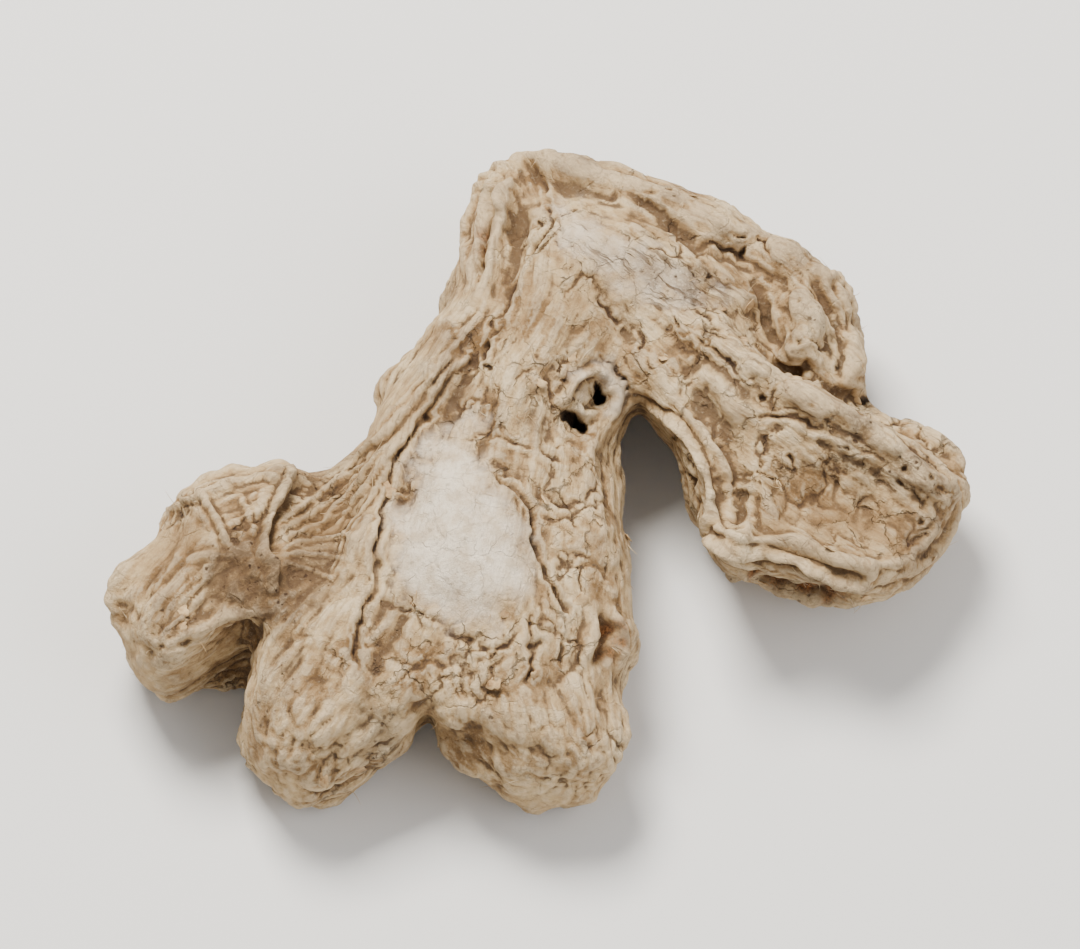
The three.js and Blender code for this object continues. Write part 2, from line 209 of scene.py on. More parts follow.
def place_on_finger(points, line):
    """Distance outside the finger, its coordinates there, and the distance from its middle line."""
    outsides = []
    places = []
    travelled = 0.0
    for (ax, ay, az, ar), (bx, by, bz, br) in zip(line, line[1:]):
        start = np.array((ax, ay, az))
        step = np.array((bx - ax, by - ay, bz - az))
        length = np.linalg.norm(step)
        way = (points - start) @ step / length
        t = np.clip(way / length, 0, 1)
        off = points - start - t[:, None] * step
        outsides.append(np.linalg.norm(off, axis=1) - ar - (br - ar) * t)
        aside = (step[0] * (points[:, 1] - ay) - step[1] * (points[:, 0] - ax)) / length
        high = points[:, 2] - az - way / length * step[2]
        places.append(np.column_stack((aside, high, travelled + way)))
        travelled += length
    outsides = np.array(outsides)
    nearness = np.exp(-(outsides - outsides.min(axis=0)) / BEND_REACH)
    nearness /= nearness.sum(axis=0)
    place = (nearness[:, :, None] * np.array(places)).sum(axis=0)
    reach = np.hypot(place[:, 0], place[:, 1])
    return outsides.min(axis=0), np.column_stack((place, reach))


def places_on_fingers(points):
    """For each group: place on its fingers, share of each point, and distance from the middle line."""
    outside = np.full((3, len(points)), 1e9)
    places = np.zeros((3, len(points), 4))
    for group, line in FINGERS:
        distance, place = place_on_finger(points, line)
        nearer = distance < outside[group]
        places[group][nearer] = place[nearer]
        outside[group] = np.minimum(outside[group], distance)
    shares = np.exp(-(outside - outside.min(axis=0)) / SHARE_REACH)
    return places[:, :, :3], shares / shares.sum(axis=0), places[:, :, 3]


def read_points(piece):
    flat = np.zeros(len(piece.data.vertices) * 3)
    piece.data.vertices.foreach_get("co", flat)
    return flat.reshape(-1, 3) / MM


def read_normals(piece):
    flat = np.zeros(len(piece.data.vertices) * 3)
    piece.data.vertices.foreach_get("normal", flat)
    return flat.reshape(-1, 3)


def write_points(piece, points):
    piece.data.vertices.foreach_set("co", (points * MM).ravel())
    piece.data.update()


points = read_points(skin)
places, shares, reaches = places_on_fingers(points)
print("Shares of the three groups:", np.round(shares.mean(axis=1), 2))


# %% [markdown]
# ## The brushes
#
# Two kinds of brush shape the skin. The first is noise, for what is the same all over a finger.
# The second follows a stroke, a line of pixels, for what is seen at one place. A stroke wanders a
# little from side to side, because a crack in dry skin is never smooth, and it fades at both ends.
# All heights are in millimetres, and they are added up before the points move, so the order of the
# strokes doesn't matter.

# %% Noise along the fingers
SEED_SHIFT = np.array((13.7, 7.3, 3.1))
TIP_REACH = (2.0, 5.8)      # nearer to the middle line than this, in millimetres, the skin is a tip


def noise_at(places, sizes, seed=0):
    """Smooth noise from -1 to 1, with the size of its bumps given along each axis."""
    shifted = places / np.array(sizes) + seed * SEED_SHIFT
    return np.array([noise.noise(place) for place in shifted.tolist()])


def noise_on_skin(size, seed):
    """The same noise with even bumps, at every point of the skin."""
    return noise_at(points, (size,) * 3, seed)


def smooth_step(value, low, high):
    t = np.clip((value - low) / (high - low), 0, 1)
    return t * t * (3 - 2 * t)


def along_fingers(make):
    """Adds up what make() gives for each group. It leaves out the tips, which crumple instead."""
    total = np.zeros(len(points))
    for place, share, off_tip in zip(places, shares, off_tips):
        near = share > 0.02
        total[near] += share[near] * make(place[near]) * off_tip[near]
    return total


off_tips = smooth_step(reaches, *TIP_REACH)
tips = (shares * (1 - off_tips)).sum(axis=0)
print(f"{(tips > 0.5).mean():.0%} of the skin is at the fingers' tips")


# %% How strokes wander
FINE_WANDER = 1.1           # the size of its bends, in millimetres
BROAD_WANDER = 3.4

normals = read_normals(skin)
facing_up = smooth_step(normals[:, 2], -0.6, -0.1)
wander_fine = np.column_stack([noise_on_skin(FINE_WANDER, seed) for seed in (1, 2, 3)])
wander_broad = np.column_stack([noise_on_skin(BROAD_WANDER, seed) for seed in (4, 5, 6)])
print(f"{facing_up.mean():.0%} of the skin can be seen from above or from the side")


# %% Strokes and patches
STROKE_REACH = 4.0          # no stroke is felt further away than this, in millimetres
STROKE_FADE = 1.6           # how far from its ends it is at its full height


def round_corners(pixels, passes=2):
    """Cuts each corner of a line of pixels, and then cuts the corners that this leaves."""
    line = np.array(pixels, dtype=float)
    for _ in range(passes):
        first = 0.75 * line[:-1] + 0.25 * line[1:]
        second = 0.25 * line[:-1] + 0.75 * line[1:]
        middle = np.stack((first, second), axis=1).reshape(-1, 2)
        line = np.vstack((line[:1], middle, line[-1:]))
    return line


def from_stroke(pixels, wander):
    """The points near a stroke, their distance from it, and a share that fades at its ends."""
    path = [np.array(on_skin(pixel)) / MM for pixel in round_corners(pixels)]
    low = np.min(path, axis=0) - STROKE_REACH
    high = np.max(path, axis=0) + STROKE_REACH
    near = np.flatnonzero(np.all((points > low) & (points < high), axis=1))
    moved = points[near] + wander * (wander_fine[near] + 1.6 * wander_broad[near])
    nearest = np.full(len(near), 1e9)
    way = np.zeros(len(near))
    travelled = 0.0
    for a, b in zip(path, path[1:]):
        step = b - a
        length = np.linalg.norm(step) + 1e-6
        t = np.clip((moved - a) @ step / length ** 2, 0, 1)
        distance = np.linalg.norm(moved - a - t[:, None] * step, axis=1)
        nearer = distance < nearest
        nearest[nearer] = distance[nearer]
        way[nearer] = travelled + t[nearer] * length
        travelled += length
    ends = smooth_step(np.minimum(way, travelled - way), -0.4 * STROKE_FADE, STROKE_FADE)
    return near, nearest, ends


def outside_discs(spots, wander=0.6):
    """Distance outside a patch made of round spots, each an x, a y and a radius in pixels."""
    moved = points + wander * (wander_fine + 2 * wander_broad)
    outside = np.full(len(points), 1e9)
    for x, y, radius in spots:
        middle = np.array(on_skin((x, y))) / MM
        reach = np.linalg.norm(moved - middle, axis=1) - radius * PIXEL / MM
        outside = np.minimum(outside, reach)
    return outside


sample_line = round_corners([(524, 227), (536, 218), (561, 225)])
print(f"Three pixels become a rounded line of {len(sample_line)}")


# %% [markdown]
# ## Polish the broad faces
#
# The solid is wrinkled all over. On the real root the broad faces of the crown, the arm and the leg
# are only softly uneven, and the band down the left side is sleek. A sculptor would rub the wrinkles
# out there with the smooth brush, and draw back later what should be crisp.

# %% Rub out the wrinkles of the broad faces
PLATED = [
    # an x, a y and a radius in pixels: the crown, the arm and the leg
    (548, 240, 12), (562, 255, 17), (585, 268, 22), (545, 285, 12), (604, 290, 13), (622, 308, 16),
    (640, 325, 18), (650, 332, 12), (550, 318, 13), (556, 340, 12), (550, 360, 12), (512, 362, 12),
    (528, 368, 14), (500, 372, 10),
]
SLEEK = [
    # the band down the left of the crown and the leg, and the top of the side finger
    (528, 238, 5), (526, 250, 6), (520, 262, 7), (512, 273, 8), (502, 286, 9), (494, 298, 9),
    (485, 312, 10), (478, 328, 9), (440, 328, 9), (430, 335, 9), (604, 268, 5),
]
POLISH_PASSES = 55
POLISH = 0.85


def read_pairs(piece):
    """The two ends of each edge."""
    pairs = np.zeros(len(piece.data.edges) * 2, dtype=np.int32)
    piece.data.edges.foreach_get("vertices", pairs)
    return pairs.reshape(-1, 2)


def relax(points, pairs, passes):
    """Moves each point half way to the middle of its neighbours, again and again."""
    first, second = pairs.T
    count = np.bincount(pairs.ravel(), minlength=len(points))
    for _ in range(passes):
        moved = np.empty_like(points)
        for axis in range(3):
            way = points[:, axis]
            total = np.bincount(first, way[second], len(way)) + np.bincount(second, way[first], len(way))
            moved[:, axis] = 0.5 * way + 0.5 * total / count
        points = moved
    return points


plated = 1 - smooth_step(outside_discs(PLATED, wander=0.8), -1.5, 1.5)
plated *= smooth_step(normals[:, 2], 0, 0.5)
sleek = 1 - smooth_step(outside_discs(SLEEK, wander=0.6), -1.0, 1.5)
rubbed = POLISH * np.maximum.reduce([plated, 1.1 * sleek, 1.1 * tips])[:, None]
points = (1 - rubbed) * points + rubbed * relax(points, read_pairs(skin), POLISH_PASSES)
write_points(skin, points)
normals = read_normals(skin)
skin_tree = BVHTree.FromObject(skin, bpy.context.evaluated_depsgraph_get())
print(f"{(rubbed > 0.3).mean():.0%} of the skin is polished")


# %% [markdown]
# ## Wrinkles
#
# The folds of dry skin are rounded, with a sharp valley between them. The absolute value of smooth
# noise has that shape: it touches zero along thin lines and swells up between them. Stretched along
# the finger it becomes wrinkles, and three sizes on top of each other look grown.
# The photograph shows them on the flanks and on the side finger. The broad faces of the crown, the
# arm and the leg have cracked into plates instead, so there the wrinkles are only faint.

# %% Fold the skin along the fingers
WRINKLES = [
    # spacing, length along the finger and height, in millimetres
    (3.4, 16.0, 0.36),
    (1.7, 12.0, 0.30),
    (0.9, 9.0, 0.15),
]
CRUMPLES = [(2.3, 0.20), (1.2, 0.13), (0.75, 0.08)]      # spacing and height, in millimetres
CROSS_HEIGHT = 0.12
FAINT = 0.30                # what is left of the wrinkles on a plated face
CALM = [
    # the least crumpled spots, each an x, a y and a radius in pixels: the right of the leg, and the arm
    (552, 322, 9), (556, 336, 9), (556, 348, 8), (553, 310, 8), (634, 330, 11), (620, 325, 8),
]


def wrinkles(place):
    sway = 1.5 * noise_at(place, (7, 7, 14), 20) + 0.35 * noise_at(place, (2.5, 2.5, 6), 21)
    swayed = place + sway[:, None] * (1, 1, 0)
    height = np.zeros(len(place))
    for seed, (spacing, length, tall) in enumerate(WRINKLES):
        folds = np.abs(noise_at(swayed, (spacing, spacing, length), 22 + seed))
        height += tall * (2.1 * folds - 0.45)
    return height


def cross_wrinkles(place):
    """Short soft folds that run round the finger, where it bends."""
    return 2 * np.abs(noise_at(place, (6.0, 6.0, 1.5), 27)) - 0.5


def crumple(place):
    """Small creases in all directions, a little longer than wide, as in paper that was balled up."""
    height = np.zeros(len(place))
    bent = place + 0.5 * noise_at(place, (2.0,) * 3, 50)[:, None]
    for seed, (spacing, tall) in enumerate(CRUMPLES):
        folds = np.abs(noise_at(bent, (spacing, spacing, 1.6 * spacing), 51 + seed))
        height += tall * (2.4 * folds - 0.5)
    return height


long_folds = along_fingers(wrinkles) * (1 - (1 - FAINT) * plated) * (1 - 0.7 * sleek)
crumpled = 0.45 + 0.45 * np.maximum(plated, smooth_step(noise_on_skin(9, 57), -0.1, 0.35))
crumpled *= 1 - 0.55 * (1 - smooth_step(outside_discs(CALM, wander=1.0), -1.5, 1.5))
small_folds = (along_fingers(crumple) + tips * crumple(points)) * crumpled * (1 - 0.85 * sleek)
bends = smooth_step(noise_on_skin(11, 28), 0.0, 0.4)
cross_folds = CROSS_HEIGHT * along_fingers(cross_wrinkles) * bends
print(f"The wrinkles range from {long_folds.min():.2f} to {long_folds.max():.2f} mm")


# %% [markdown]
# ## Bare patches
#
# On the front of the leg and on the crown the papery skin is scraped off. What is left is pale,
# almost smooth, and lies a little lower, inside a ragged edge.

# %% Scrape the bare patches
LEG_PATCH = [(518, 299, 5), (513, 311, 12), (510, 324, 14), (512, 337, 16), (524, 336, 13), (520, 346, 11),
             (530, 343, 8), (524, 322, 10), (530, 330, 9), (534, 338, 6)]
CROWN_PATCH = [(548, 233, 4), (553, 240, 7), (562, 247, 8), (572, 252, 8), (582, 256, 6), (590, 260, 3)]
PIT_PATCH = [(554, 283, 2.5), (560, 282, 3.5), (564, 286, 3), (565, 291, 2.5), (553, 292, 2)]
BARE_DEPTH = 0.16
CROWN_BARENESS = 0.7        # the leg's patch is fully bare, and the others only partly
PIT_BARENESS = 0.6

tatters = 0.9 * noise_on_skin(0.7, 29) + 0.9 * noise_on_skin(1.5, 30)
leg_bare = 1 - smooth_step(outside_discs(LEG_PATCH, wander=0.9) + 0.7 * tatters, -2.2, 1.0)
crown_bare = 1 - smooth_step(outside_discs(CROWN_PATCH, wander=1.1) + 1.2 * tatters, -1.4, 0.9)
pit_bare = 1 - smooth_step(outside_discs(PIT_PATCH) + 0.6 * tatters, -0.6, 0.6)
bare = np.maximum.reduce([leg_bare, CROWN_BARENESS * crown_bare, PIT_BARENESS * pit_bare]) * facing_up
print(f"Bare skin covers {bare.mean():.1%} of the root")


# %% [markdown]
# ## Cords, folds and cracks
#
# These are the strokes: what can be pointed at in the photograph. A cord is a raised rim or rib, a
# fold is a soft valley, and a crack is narrow and deep. Each has a counter-shape on both sides, a
# faint crease beside a cord and a faint lip beside a crack, because skin that is pushed up in one
# place is pulled down in the next. That is what makes a stroke look folded and not drawn on.
# Only the upper side was photographed, so only it has strokes.

# %% List the cords
CORDS = [
    # height and width in millimetres, then the stroke: first the crown's rolled edge
    (0.85, 0.95, [(524, 227), (528, 222), (536, 218), (544, 218), (553, 221), (561, 225), (570, 227)]),
    (0.55, 1.10, [(566, 226), (580, 230), (594, 238), (611, 244), (624, 249), (632, 255), (636, 264),
                  (637, 276), (636, 286)]),
    (0.50, 0.55, [(526, 224), (521, 230), (519, 239), (519, 247), (520, 255)]),
    (0.35, 0.45, [(539, 248), (536, 254), (533, 262), (530, 269)]),
    # the leaves of dry skin on the crown
    (0.40, 0.70, [(558, 229), (563, 234), (570, 233), (576, 237)]),
    (0.40, 0.70, [(591, 260), (598, 260), (606, 260)]),
    (0.45, 1.20, [(566, 255), (570, 267), (577, 278), (586, 286)]),
    (0.40, 1.00, [(556, 262), (562, 271), (572, 280)]),
    (0.60, 1.60, [(614, 256), (620, 262), (624, 268), (627, 274)]),
    (0.60, 1.10, [(609, 255), (611, 261), (612, 267), (613, 272)]),
    (0.80, 0.85, [(612, 277), (616, 277), (620, 275)]),
    (0.25, 0.28, [(627, 249), (632, 258), (635, 268), (636, 278)]),
    (0.25, 0.26, [(622, 249), (629, 257), (633, 267)]),
    # the raised tongue where the arm begins, and the arm's long upper ridge
    (0.70, 1.20, [(587, 283), (594, 286), (600, 291), (605, 296)]),
    (0.75, 0.90, [(601, 276), (611, 285), (622, 291), (638, 298), (650, 308), (660, 318)]),
    (0.45, 0.55, [(622, 298), (632, 304), (642, 309), (650, 316)]),
    # the rim of the arm
    (0.80, 0.44, [(573, 292), (582, 298), (588, 305), (592, 315), (592, 327), (592, 332), (598, 336),
                  (608, 336), (618, 339), (627, 345), (640, 346)]),
    (0.55, 0.46, [(604, 311), (604, 320), (603, 327), (601, 334)]),
    (0.45, 0.40, [(596, 318), (602, 317), (609, 319)]),
    (0.30, 0.34, [(584, 294), (591, 301), (596, 309), (598, 319), (598, 328)]),
    (0.36, 0.42, [(603, 332), (612, 332), (622, 334), (634, 339), (646, 340), (656, 335), (661, 327)]),
    (0.60, 0.50, [(598, 343), (605, 347), (614, 350), (624, 352)]),
    (0.45, 0.55, [(648, 344), (660, 337), (666, 328), (666, 318), (660, 311)]),
    # the arched rim of the two pits, and the torn pocket at the foot of the leg
    (0.65, 0.40, [(547, 293), (550, 288), (554, 284), (559, 282), (563, 285), (565, 291), (565, 295)]),
    (0.45, 0.30, [(550, 292), (553, 293), (556, 295), (560, 294)]),
    (0.30, 0.28, [(560, 284), (562, 289), (562, 294)]),
    (0.70, 0.50, [(558, 352), (557, 360), (554, 369)]),
    (0.80, 0.50, [(563, 353), (566, 360), (566, 369)]),
    # the left flank
    (0.40, 0.34, [(516, 276), (505, 289), (492, 303), (479, 316)]),
    (0.32, 0.28, [(521, 276), (508, 291), (496, 305), (484, 318), (474, 330)]),
    (0.30, 0.26, [(512, 290), (501, 302), (489, 316), (479, 330)]),
    (0.28, 0.24, [(499, 309), (491, 319), (484, 331), (480, 343)]),
    (0.30, 0.28, [(526, 262), (518, 272), (508, 282), (498, 293)]),
    # the side finger: its pale ring, the fan of folds beside it, and its lips
    (0.90, 0.36, [(468, 312), (464, 322), (460, 329), (459, 335), (462, 340), (463, 346)]),
    (0.50, 0.30, [(441, 318), (446, 326), (450, 334)]),
    (0.30, 0.30, [(449, 337), (442, 336), (435, 339)]),
    (0.40, 0.36, [(430, 325), (440, 319), (455, 315), (467, 314)]),
    (0.60, 0.50, [(432, 363), (441, 359), (449, 354), (458, 353)]),
    (0.28, 0.24, [(463, 329), (470, 322), (480, 315), (490, 309)]),
    (0.30, 0.24, [(464, 331), (473, 324), (484, 317)]),
    (0.26, 0.22, [(464, 333), (474, 328), (486, 323)]),
    (0.28, 0.24, [(464, 335), (474, 332), (487, 331)]),
    (0.26, 0.22, [(464, 337), (474, 336), (485, 338)]),
    (0.26, 0.24, [(464, 339), (472, 341), (481, 345)]),
    (0.26, 0.22, [(452, 319), (455, 325), (457, 332)]),
    (0.24, 0.22, [(446, 342), (440, 346), (433, 352)]),
    (0.24, 0.22, [(443, 348), (437, 353), (431, 359)]),
]
print(f"{len(CORDS)} cords")


# %% List the folds and the cracks
FOLDS = [
    # depth and width in millimetres, then the stroke
    (1.40, 0.50, [(531, 221), (526, 228), (525, 237), (524, 246), (522, 254)]),
    (0.55, 0.90, [(534, 230), (534, 244), (532, 254), (529, 262)]),
    (0.70, 0.50, [(569, 229), (578, 236), (584, 241), (592, 245)]),
    (0.60, 0.45, [(605, 252), (607, 259), (609, 267), (611, 274)]),
    (0.50, 0.35, [(611, 280), (616, 282), (622, 280)]),
    (0.70, 0.45, [(621, 252), (628, 260), (631, 269), (634, 278), (631, 286)]),
    (0.75, 2.00, [(597, 267), (605, 269)]),
    (0.90, 0.55, [(641, 291), (632, 289), (625, 286), (617, 284), (609, 280)]),
    (0.60, 0.60, [(582, 286), (585, 282), (591, 280), (598, 284), (606, 292)]),
    (0.70, 0.55, [(583, 297), (590, 305), (595, 314), (596, 324), (596, 331)]),
    (1.20, 0.75, [(602, 341), (611, 345), (620, 348), (630, 350)]),
    (0.60, 2.60, [(618, 320), (632, 325), (643, 326)]),
    (0.55, 0.50, [(606, 334), (617, 337), (627, 341), (636, 343)]),
    (0.60, 0.45, [(471, 314), (467, 322), (463, 329), (462, 334), (465, 341)]),
    (0.45, 1.80, [(450, 341), (458, 343)]),
    (0.35, 0.60, [(500, 296), (487, 311), (473, 327)]),
    (0.60, 0.80, [(452, 341), (457, 346), (462, 350)]),
    (1.10, 0.55, [(561, 355), (562, 362), (559, 369)]),
    (0.55, 0.55, [(503, 352), (497, 361), (492, 372)]),
    (0.30, 0.50, [(512, 357), (519, 362), (528, 364)]),
]
CRACKS = [
    # depth and width in millimetres, then the stroke
    (1.30, 0.34, [(529, 222), (526, 228), (525, 237), (524, 246), (522, 254)]),
    (0.65, 0.28, [(543, 219), (543, 230), (545, 238), (540, 245), (535, 255), (532, 261), (528, 272),
                  (525, 280), (519, 286)]),
    (0.75, 0.32, [(513, 289), (506, 297), (499, 308), (497, 317), (494, 329), (493, 338), (493, 347),
                  (489, 360), (488, 370)]),
    (0.95, 0.32, [(523, 311), (530, 313), (536, 318), (541, 326), (539, 333), (542, 339), (547, 347),
                  (549, 354), (548, 368)]),
    (0.60, 0.28, [(539, 354), (540, 366), (537, 376)]),
    (0.45, 0.24, [(548, 267), (555, 275), (562, 281), (569, 286)]),
    (0.50, 0.26, [(530, 264), (527, 270), (528, 277)]),
    (0.45, 0.26, [(555, 228), (561, 230), (566, 227)]),
    (0.55, 0.26, [(541, 305), (545, 307), (551, 309)]),
    (0.60, 0.34, [(530, 302), (532, 305), (538, 306)]),
    (0.40, 0.24, [(542, 320), (552, 322)]),
    (0.40, 0.24, [(548, 336), (556, 338)]),
    (0.60, 0.28, [(607, 295), (612, 296), (618, 297), (626, 298)]),
    (0.50, 0.26, [(604, 311), (610, 308), (616, 307), (617, 313)]),
    (0.45, 0.26, [(629, 317), (632, 311)]),
    (0.50, 0.26, [(646, 313), (651, 318), (656, 323)]),
    (0.50, 0.24, [(628, 300), (635, 306), (643, 308)]),
    (0.50, 0.26, [(578, 262), (584, 270), (593, 275), (602, 282)]),
    (0.40, 0.24, [(559, 259), (565, 268), (573, 274), (577, 283)]),
    (0.30, 0.24, [(512, 356), (519, 362), (528, 364), (536, 359)]),
    (0.40, 0.26, [(495, 351), (503, 354), (512, 356)]),
    # short cracks in the crown's rolled edge and beside the bulge
    (0.45, 0.24, [(572, 227), (580, 229), (588, 233)]),
    (0.50, 0.24, [(597, 240), (604, 243), (612, 248)]),
    (0.60, 0.26, [(588, 241), (595, 244), (601, 247), (606, 252), (612, 254)]),
    (0.50, 0.24, [(614, 271), (620, 272), (627, 275)]),
    (0.55, 0.28, [(617, 252), (622, 257), (627, 263), (631, 270), (632, 275)]),
    (0.35, 0.22, [(611, 262), (616, 264), (622, 264)]),
]
print(f"{len(FOLDS)} folds and {len(CRACKS)} cracks")


# %% Carve the strokes
def carve(strokes, sign, counter, wander):
    """Adds up the strokes' heights, and keeps how strongly each point is marked."""
    height = np.zeros(len(points))
    marks = np.zeros(len(points))
    for tall, width, pixels in strokes:
        near, distance, ends = from_stroke(pixels, wander)
        wide = width * (1 + 0.35 * wander_broad[near, 1])
        uneven = 0.9 + 0.35 * wander_broad[near, 2] + 0.25 * wander_fine[near, 0]
        mark = np.exp(-(distance / wide) ** 2) * ends * uneven
        beside = np.exp(-((distance - 1.9 * wide) / (0.7 * wide)) ** 2) * ends
        height[near] += sign * tall * (mark - counter * beside) * facing_up[near]
        marks[near] = np.maximum(marks[near], mark * facing_up[near])
    return height, marks


cord_height, cord_mark = carve(CORDS, 1, 0.40, 0.22)
fold_height, fold_mark = carve(FOLDS, -1, 0.20, 0.30)
crack_height, crack_mark = carve(CRACKS, -1, 0.22, 0.45)
print(f"The strokes touch {(cord_mark + fold_mark + crack_mark > 0.1).mean():.0%} of the skin")


# %% [markdown]
# ## Plates and scars
#
# Where the skin can't fold it breaks. A Voronoi pattern gives such plates: each point belongs to the
# nearest of many scattered seeds, and the edge is where two seeds are equally near. Each plate gets a
# slightly different level, so its edge catches the light. The plates also cover parts of the back and
# of the under side, which the photograph doesn't show.
# Small round scars are left where thin roots and buds dropped off. The pits are pressed in along the
# camera's view and not along the normal, because that is the way the photograph looks into them.

# %% Break the skin into plates
PLATE = 4.4                 # millimetres across
SMALL_PLATE = 0.45          # share of a large one
PLATE_GAP = 0.13            # share of a plate
PLATE_DEPTH = 0.26
SMALL_PLATE_DEPTH = 0.11
PLATE_STEP = 0.06           # how much higher or lower one plate lies than the next


def break_up(size, seed):
    """1 on the lines between the plates, and a level for each plate from -1 to 1."""
    ragged = 0.16 * wander_fine + 0.30 * wander_broad
    spots = points / size + (5.1 * seed, 2.7 * seed, 9.3 * seed) + ragged
    gap = np.zeros(len(points))
    level = np.zeros(len(points))
    for index, spot in enumerate(spots.tolist()):
        near, seeds = noise.voronoi(spot)
        gap[index] = near[1] - near[0]
        level[index] = noise.cell(seeds[0] * 7.7)
    return 1 - smooth_step(gap, 0.25 * PLATE_GAP, PLATE_GAP), level


broken = smooth_step(noise_on_skin(10, 33) + 0.2 * wander_broad[:, 0], 0.0, 0.3)
broken = np.maximum(broken, plated) * (1 - bare)
large_gaps, large_levels = break_up(PLATE, 1)
small_gaps = break_up(SMALL_PLATE * PLATE, 2)[0]
finer = smooth_step(noise_on_skin(5, 34), -0.1, 0.25)
open_gaps = smooth_step(noise_on_skin(3.6, 37), -0.45, 0.15)
broken *= (1 - 0.85 * cord_mark) * open_gaps
plate_mark = broken * np.maximum(large_gaps, 0.5 * finer * small_gaps)
plate_height = broken * (PLATE_STEP * large_levels * (1 - large_gaps) - PLATE_DEPTH * large_gaps)
plate_height -= broken * finer * SMALL_PLATE_DEPTH * small_gaps
print(f"Plates cover {broken.mean():.0%} of the root")


# %% Press in the scars
SCAR_DEPTH = 0.30
RING_WIDTH = 0.38
SCARS = [
    # a place on the skin in millimetres, the radius and the height of the ring
    ((22.5, 6.3, 14.8), 1.5, 0.45),
    ((-35.0, -17.0, 5.0), 1.6, 0.30),
    ((37.0, -9.0, 5.0), 1.4, 0.25),
    ((4.5, -26.5, 4.6), 1.5, 0.30),
    ((27.6, 6.4, 5.0), 1.3, 0.25),
    ((-4.0, 27.6, 5.6), 1.5, 0.30),
    ((9.5, 12.5, 1.5), 1.3, 0.30),
    ((-8.5, -3.5, 0.8), 1.5, 0.30),
    ((21.0, -8.5, 1.8), 1.4, 0.30),
    ((-16.5, -13.0, 1.2), 1.1, 0.30),
    ((-10.5, 6.5, 6.5), 1.2, 0.30),
]


def press_scars():
    height = np.zeros(len(points))
    marks = np.zeros(len(points))
    for place, radius, tall in SCARS:
        middle = np.array(skin_tree.find_nearest(Vector(place) * MM)[0]) / MM
        away = np.linalg.norm(points + 0.35 * wander_fine + 0.5 * wander_broad - middle, axis=1)
        ring = np.exp(-((away - radius) / RING_WIDTH) ** 2) * (0.6 + 0.8 * wander_broad[:, 0])
        inside = 1 - smooth_step(away, 0.3 * radius, 1.05 * radius)
        height += tall * ring - SCAR_DEPTH * inside
        marks = np.maximum(marks, 1 - smooth_step(away, 0.7 * radius, 1.25 * radius))
    return height, marks


scar_height, scar_mark = press_scars()
print(f"{len(SCARS)} scars")


# %% Open the pits
PITS = [
    # an x and a y in pixels, the radius and the depth in millimetres, and how dark it is painted: painted
    # shade in the deep pits, partly the skin's own dark spots in the small ones
    (557.8, 286.6, 0.42, 1.6, 0.9), (557.4, 289.0, 0.58, 2.6, 1.0), (558.8, 291.2, 0.50, 2.4, 1.0),
    (549.6, 295.8, 0.42, 1.8, 0.9), (551.4, 297.2, 0.60, 2.4, 1.0), (553.6, 298.4, 0.46, 2.0, 1.0),
    (566.6, 284.6, 0.22, 0.5, 0.6), (567.6, 287.0, 0.22, 0.5, 0.6),
    (602.3, 246.2, 0.32, 0.6, 0.7), (541.2, 238.0, 0.26, 0.4, 0.5), (540.3, 244.4, 0.26, 0.4, 0.5),
    (526.0, 281.0, 0.34, 0.5, 0.7), (608.0, 290.0, 0.34, 0.5, 0.6),
    (639.5, 290.0, 0.40, 0.8, 0.5), (592.0, 254.0, 0.26, 0.4, 0.4), (631.0, 281.0, 0.30, 0.5, 0.5),
    (650.0, 311.0, 0.26, 0.4, 0.4), (657.5, 313.5, 0.28, 0.4, 0.4), (655.0, 327.0, 0.26, 0.4, 0.4),
]
PIT_REACH = 3.5             # how far above and below its mouth a pit is felt, in millimetres


def open_pits():
    """How far each point sinks along the camera's view, and how dark the hole is painted there, as painted
    shade.
    """
    sink = np.zeros(len(points))
    dark = np.zeros(len(points))
    for x, y, radius, depth, darkness in PITS:
        middle = np.array(on_skin((x, y))) / MM
        off = points + 0.45 * (wander_fine + 0.4 * wander_broad) * min(1, 2 * radius) - middle
        along = off @ np.array(TOWARDS)
        away = np.linalg.norm(off - along[:, None] * np.array(TOWARDS), axis=1)
        near = (np.abs(along) < PIT_REACH) * facing_up
        sink = np.maximum(sink, depth * near * (1 - smooth_step(away, 0.55 * radius, 1.15 * radius)))
        edge = 1 - smooth_step(away, 0.6 * radius, 1.25 * radius)
        dark = np.maximum(dark, darkness * near * edge)
    return sink, dark


sink, pit_shade_and_spots = open_pits()
print(f"{len(PITS)} pits, the deepest {sink.max():.1f} mm")


# %% Add it all up and move the points
GRIT = 0.11                 # height of the finest bumps, and their size
GRIT_SIZE = 0.8
UNEVEN = 0.10               # the same for the soft bumps under them
UNEVEN_SIZE = 2.6
LAST_SMOOTHING = 0.2
ROUGH_SPOTS = [(590, 256, 9), (645, 308, 10), (660, 322, 9), (456, 340, 9), (470, 345, 7), (634, 275, 8)]

rough = 0.35 + 0.65 * (1 - smooth_step(outside_discs(ROUGH_SPOTS, wander=1.0), -1.5, 2.0))


def skin_height():
    calm = 1 - 0.9 * bare
    quiet = calm * (1 - 0.8 * scar_mark)
    height = (long_folds + cross_folds) * quiet + plate_height * (1 - scar_mark)
    height += small_folds * quiet * (1 - 0.4 * cord_mark)
    height += cord_height + fold_height + crack_height + scar_height
    height -= BARE_DEPTH * bare
    height += GRIT * rough * calm * noise_on_skin(GRIT_SIZE, 35)
    height += UNEVEN * calm * noise_on_skin(UNEVEN_SIZE, 36)
    return height


def settle(piece, height):
    """Moves the points out by their height and into the pits, but never below the floor."""
    moved = points + normals * height[:, None] + np.array(TOWARDS) * sink[:, None]
    moved[:, 2] = np.maximum(moved[:, 2], 0)
    write_points(piece, moved)


